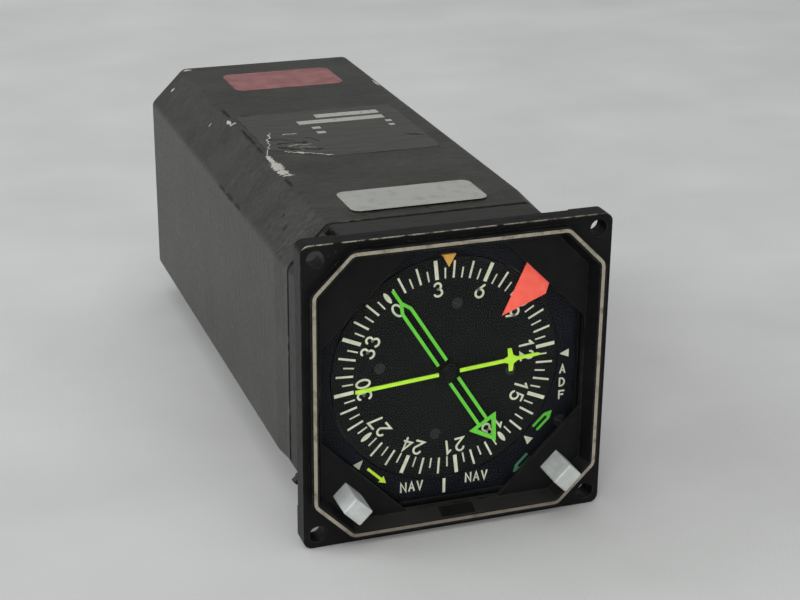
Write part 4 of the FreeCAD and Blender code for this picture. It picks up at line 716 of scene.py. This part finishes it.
def darkFilm():
    # printed polyester film with two blank writing bars and four blank tick boxes
    look = {
        "film": "#252421", "film2": "#3c3b35", "white": "#9d9d97", "torn": "#b9b8b0", "crackShade": "#060606",
        # from x, y to x, y with the half width, mm: pale torn edges, then open creases, whose near-black colour is
        # painted shade
        "tears": [(-23.0, 79.0, -17.5, 75.0, 0.2), (-17.5, 75.0, -9.4, 70.2, 0.22), (-19.0, 81.8, -12.2, 82.3, 0.14),
                  (-16.8, 79.6, -11.6, 79.3, 0.12), (-17.2, 93.0, -13.4, 93.3, 0.25), (-20.8, 96.6, -26.0, 79.5, 0.13)],
        "shadedCracks": [(-22.2, 89.8, -15.6, 87.0, 0.5), (-21.4, 85.0, -13.0, 84.4, 0.45), (-21.8, 81.4, -17.4, 78.0, 0.6),
                   (-15.0, 77.8, -10.6, 76.6, 0.4), (-12.4, 88.6, -8.6, 84.8, 0.3), (17.0, 83.6, 21.6, 81.2, 0.45)],
    }
    boxes = [(7.0, 109.3, 20.0, 3.6), (3.5, 103.6, 27.0, 3.6), (-6.0, 97.5, 2.6, 2.2), (-6.0, 92.5, 2.6, 2.2),
             (17.0, 98.6, 1.9, 1.9), (16.6, 94.4, 1.7, 1.9)]
    material, tree, shader, place = startFinish("PrintedPolyesterFilm", 1.6, 0.0, 0.4)
    split = addNode(tree, "ShaderNodeSeparateXYZ", inputs={"Vector": place})
    total = None
    for x, y, wide, high in boxes:
        inside = []
        for axis, centre, size in (("X", x, wide), ("Y", y, high)):
            off = addNode(tree, "ShaderNodeMath", {"operation": "SUBTRACT"}, {0: split.outputs[axis], 1: centre * mm})
            away = addNode(tree, "ShaderNodeMath", {"operation": "ABSOLUTE"}, {0: off})
            inside.append(addNode(tree, "ShaderNodeMath", {"operation": "LESS_THAN"}, {0: away, 1: size / 2 * mm}))
        box = addNode(tree, "ShaderNodeMath", {"operation": "MULTIPLY"}, {0: inside[0], 1: inside[1]})
        total = box if total is None else addNode(tree, "ShaderNodeMath", {"operation": "MAXIMUM"}, {0: total, 1: box})
    # the lines wander, because the place that they are measured from is pushed about by noise
    push = addNode(tree, "ShaderNodeTexNoise", inputs={"Vector": place, "Scale": 1 / (2.6 * mm), "Detail": 3.0})
    centred = addNode(tree, "ShaderNodeVectorMath", {"operation": "SUBTRACT"},
                      {0: push.outputs["Color"], 1: (0.5, 0.5, 0.5)})
    bent = addNode(tree, "ShaderNodeVectorMath", {"operation": "MULTIPLY_ADD"},
                   {0: centred, 1: (4 * mm, 4 * mm, 0), 2: place})
    wandering = addNode(tree, "ShaderNodeSeparateXYZ", inputs={"Vector": bent})
    drawn = {}
    wobble = addNode(tree, "ShaderNodeTexNoise", inputs={"Vector": place, "Scale": 900.0, "Detail": 2.0})
    for kind in ("tears", "shadedCracks"):
        for x0, y0, x1, y1, half in look[kind]:
            away = segmentDistance(tree, wandering, (x0 * mm, y0 * mm), (x1 * mm, y1 * mm))
            rough = addNode(tree, "ShaderNodeMath", {"operation": "MULTIPLY_ADD"},
                            {0: wobble.outputs[0], 1: 1.2 * half * mm, 2: away})
            line = addNode(tree, "ShaderNodeMath", {"operation": "LESS_THAN"}, {0: rough, 1: 1.6 * half * mm})
            drawn[kind] = line if kind not in drawn else addNode(tree, "ShaderNodeMath", {"operation": "MAXIMUM"},
                                                                {0: drawn[kind], 1: line})
    patchy = cloud(tree, place, 1.4, 0.2, 0.42, 4)
    printed = addNode(tree, "ShaderNodeMath", {"operation": "MULTIPLY"}, {0: total, 1: patchy})
    broad = cloud(tree, place, (14, 2, 6), 0.35, 0.65, 4)
    film = blendColours(tree, broad, look["film"], look["film2"])
    marked = blendColours(tree, printed, film, look["white"])
    # the cracks are real, but their near-black colour is painted shade inside the open creases
    withCrackShade = blendColours(tree, drawn["shadedCracks"], marked, look["crackShade"])
    colour = blendColours(tree, drawn["tears"], withCrackShade, look["torn"])
    creases = cloud(tree, place, (16, 2.2, 4), 0.3, 0.7, 5)
    bump = addNode(tree, "ShaderNodeBump", inputs={"Height": creases, "Distance": 0.12 * mm})
    smooth = addNode(tree, "ShaderNodeMapRange", inputs={"Value": broad, "To Min": 0.3, "To Max": 0.5})
    rough = addNode(tree, "ShaderNodeMath", {"operation": "MAXIMUM"}, {0: smooth, 1: drawn["shadedCracks"]})
    wire(tree, shader, {"Base Color": colour, "Roughness": rough, "Normal": bump})
    return material


labelFinishes = {
    "silver_label": silverFoil(),
    "dark_label": darkFilm(),
    "red_label": plainFinish("FadedRedVinyl", "#7c4c4b", "#8b5c5b", 0.45, 0.6, 0.6, 0.02, 5, 1.53),
}


# a label is a thin sheet on the case top, with round corners, slight waves and, where torn, ragged edges
def makeLabel(name):
    look = labels[name]
    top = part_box("case_can")[1].z
    wide, deep = look["size"]
    acrossCount, alongCount = 64, 48
    bm = bmesh.new()
    grid = {}
    for layer in (0, 1):
        for i in range(acrossCount + 1):
            for j in range(alongCount + 1):
                u, v = i / acrossCount * 2 - 1, j / alongCount * 2 - 1
                x, y = u * wide / 2, v * deep / 2
                # squeeze the grid into a rounded rectangle
                cornerX, cornerY = wide / 2 - look["corner"], deep / 2 - look["corner"]
                if abs(x) > cornerX and abs(y) > cornerY:
                    dx, dy = abs(x) - cornerX, abs(y) - cornerY
                    longer = max(dx, dy) / max(1e-9, math.hypot(dx, dy))
                    x = math.copysign(cornerX + dx * longer, x)
                    y = math.copysign(cornerY + dy * longer, y)
                edge = max(abs(u), abs(v)) ** 24
                tear = noise.noise(Vector((x * 0.35 + 3, y * 0.35, 7))) * look["ragged"] * edge
                x, y = x * (1 - tear * 0.03), y * (1 - tear * 0.03)
                wave = noise.noise(Vector((x * 0.12, y * 0.4, 2))) * look["wrinkle"]
                z = 0.005 if layer else 0.085 + wave
                x, y = look["centre"][0] + x, look["centre"][1] + y
                if "torn" in look:
                    x0, y0, x1, y1 = look["torn"]
                    front, back = look["centre"][1] - deep / 2, look["centre"][1] + deep / 2
                    low = max(front, y0 + (y1 - y0) * (x - x0) / (x1 - x0) + noise.noise(Vector((x * 0.8, 5, 1))))
                    y = low + (y - front) * (back - low) / (back - front)
                grid[layer, i, j] = bm.verts.new((x * mm, y * mm, top + z * mm))
    for i in range(acrossCount):
        for j in range(alongCount):
            bm.faces.new([grid[0, i, j], grid[0, i + 1, j], grid[0, i + 1, j + 1], grid[0, i, j + 1]])
            bm.faces.new([grid[1, i, j], grid[1, i, j + 1], grid[1, i + 1, j + 1], grid[1, i + 1, j]])
    rim = [(i, 0) for i in range(acrossCount)] + [(acrossCount, j) for j in range(alongCount)]
    rim += [(i, alongCount) for i in range(acrossCount, 0, -1)] + [(0, j) for j in range(alongCount, 0, -1)]
    for k, a in enumerate(rim):
        b = rim[(k + 1) % len(rim)]
        bm.faces.new([grid[0, a[0], a[1]], grid[1, a[0], a[1]], grid[1, b[0], b[1]], grid[0, b[0], b[1]]])
    mesh = finishMesh(bm, name)
    return addPiece(name, mesh, "housing", labelFinishes[name])


for name in labels:
    piece = makeLabel(name)
    if name == "silver_label":
        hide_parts("top_labels")
print("labels made")

# the weave's ribs lie 0.73 mm apart, turned by the given angle from the object's X
stageLook = {"cloth": "#c2c3c2", "shade": "#b9bab9", "rib": "#969694", "ribShare": 0.26, "weave": 0.73, "turn": 34.1,
             "size": 3.2, "fold": 2.4}


def makeFloor():
    # the flange's rear foot and the case's rear lower edge stand on the cloth
    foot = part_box("bezel_casting")[0].z
    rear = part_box("case_can")
    slope = (rear[0].z - foot) / (rear[1].y - 0.003)
    count = 260
    bm = bmesh.new()
    rows = []
    for i in range(count + 1):
        row = []
        for j in range(count + 1):
            x, y = (i / count - 0.5) * stageLook["size"], (j / count - 0.5) * stageLook["size"] + 0.2
            near = max(0.0, math.hypot(max(0, abs(x) - 0.06), max(0, abs(y - 0.09) - 0.12)) - 0.01)
            calm = min(1.0, near / 0.15)
            fold = noise.noise(Vector((x * 5 + 1.7, y * 3.2, 0.4))) + 0.5 * noise.noise(Vector((x * 11, y * 9, 3.1)))
            drop = -0.00005 - (stageLook["fold"] * mm) * calm * (0.6 + fold * 0.6)
            row.append(bm.verts.new((x, y, foot + y * slope + drop)))
        rows.append(row)
    for i in range(count):
        for j in range(count):
            bm.faces.new((rows[i][j], rows[i + 1][j], rows[i + 1][j + 1], rows[i][j + 1]))
    mesh = finishMesh(bm, "cloth")
    if mesh.polygons[0].normal.z < 0:
        mesh.flip_normals()
    for face in mesh.polygons:
        face.use_smooth = True
    floor = bpy.data.objects.new("cloth", mesh)
    bpy.context.scene.collection.objects.link(floor)
    material, tree, shader, place = startFinish("WovenPolyesterCloth", 1.5, 0.0, 0.8)
    turned = addNode(tree, "ShaderNodeMapping",
                     inputs={"Vector": place, "Rotation": (0, 0, math.radians(stageLook["turn"]))})
    weave = addNode(tree, "ShaderNodeTexWave", {"bands_direction": "X"},
                    {"Vector": turned, "Scale": math.pi / 10 / (stageLook["weave"] * mm), "Distortion": 0.4})
    broad = cloud(tree, place, (90, 60, 40), 0.3, 0.7, 3)
    plain = blendColours(tree, broad, stageLook["shade"], stageLook["cloth"])
    spots = addNode(tree, "ShaderNodeMath", {"operation": "MULTIPLY"},
                    {0: cloud(tree, place, 45, 0.3, 0.7, 2), 1: stageLook["ribShare"]})
    faint = addNode(tree, "ShaderNodeMath", {"operation": "MULTIPLY"}, {0: weave.outputs["Fac"], 1: spots})
    tone = blendColours(tree, faint, plain, stageLook["rib"])
    bump = addNode(tree, "ShaderNodeBump",
                   inputs={"Height": weave.outputs["Fac"], "Distance": 0.03 * mm, "Strength": 0.6})
    wire(tree, shader, {"Base Color": tone, "Normal": bump})
    mesh.materials.append(material)


makeFloor()


def makeWorld():
    world = bpy.data.worlds.new("softRoom")
    bpy.context.scene.world = world
    world.use_nodes = True
    tree = world.node_tree
    tree.nodes.clear()
    path = addNode(tree, "ShaderNodeLightPath")
    room = addNode(tree, "ShaderNodeBackground", inputs={"Color": hexColour("#f6f7f7"), "Strength": 0.7})
    # what shines in the enamel and the glass is the darker upper part of the room
    upper = addNode(tree, "ShaderNodeBackground", inputs={"Color": hexColour("#f2f4f6"), "Strength": 0.32})
    mirrored = addNode(tree, "ShaderNodeMixShader", inputs={0: path.outputs["Is Glossy Ray"], 1: room, 2: upper})
    seen = addNode(tree, "ShaderNodeBackground", inputs={"Color": hexColour("#c6c7c7"), "Strength": 1.0})
    both = addNode(tree, "ShaderNodeMixShader", inputs={0: path.outputs["Is Camera Ray"], 1: mirrored, 2: seen})
    addNode(tree, "ShaderNodeOutputWorld", inputs={"Surface": both})


makeWorld()

lamps = {
    "front": {"at": (-0.75, -1.25, 0.62), "aim": (0, 0.0, 0), "size": 0.6, "power": 9.0, "colour": "#fffefc"},
    "left": {"at": (-1.25, 0.45, 0.9), "aim": (-0.25, 0.25, 0), "size": 0.8, "power": 8.5, "colour": "#fbfdff"},
    "top": {"at": (-0.1, -0.3, 1.5), "aim": (0, 0.0, 0), "size": 1.2, "power": 5.0, "colour": "#ffffff"},
}
for name, look in lamps.items():
    data = bpy.data.lights.new(name, "AREA")
    data.size, data.energy = look["size"], look["power"]
    data.color = hexColour(look["colour"])[:3]
    lamp = bpy.data.objects.new(name, data)
    lamp.location = look["at"]
    lamp.rotation_euler = (Vector(look["aim"]) - Vector(look["at"])).to_track_quat("-Z", "Y").to_euler()
    bpy.context.scene.collection.objects.link(lamp)

# the camera of the photograph: its axes and place in the part's frame
view = {
    "right": (0.9434946, -0.3312822, 0.0083734), "up": (0.1163571, 0.3548332, 0.9276607),
    "back": (-0.3102886, -0.8742685, 0.3733303), "at": (-0.149893, -0.383478, 0.185838), "lens": 78.82,
}
camera = bpy.data.objects.new("camera", bpy.data.cameras.new("camera"))
camera.data.lens, camera.data.sensor_width = view["lens"], 36.0
camera.data.clip_start, camera.data.clip_end = 0.01, 20.0
camera.matrix_world = Matrix([[view["right"][i], view["up"][i], view["back"][i], view["at"][i]] for i in range(3)]
                             + [[0, 0, 0, 1]])
bpy.context.scene.collection.objects.link(camera)
bpy.context.scene.camera = camera
bpy.context.scene.view_settings.view_transform = "Standard"
print("stage, lamps and camera set")
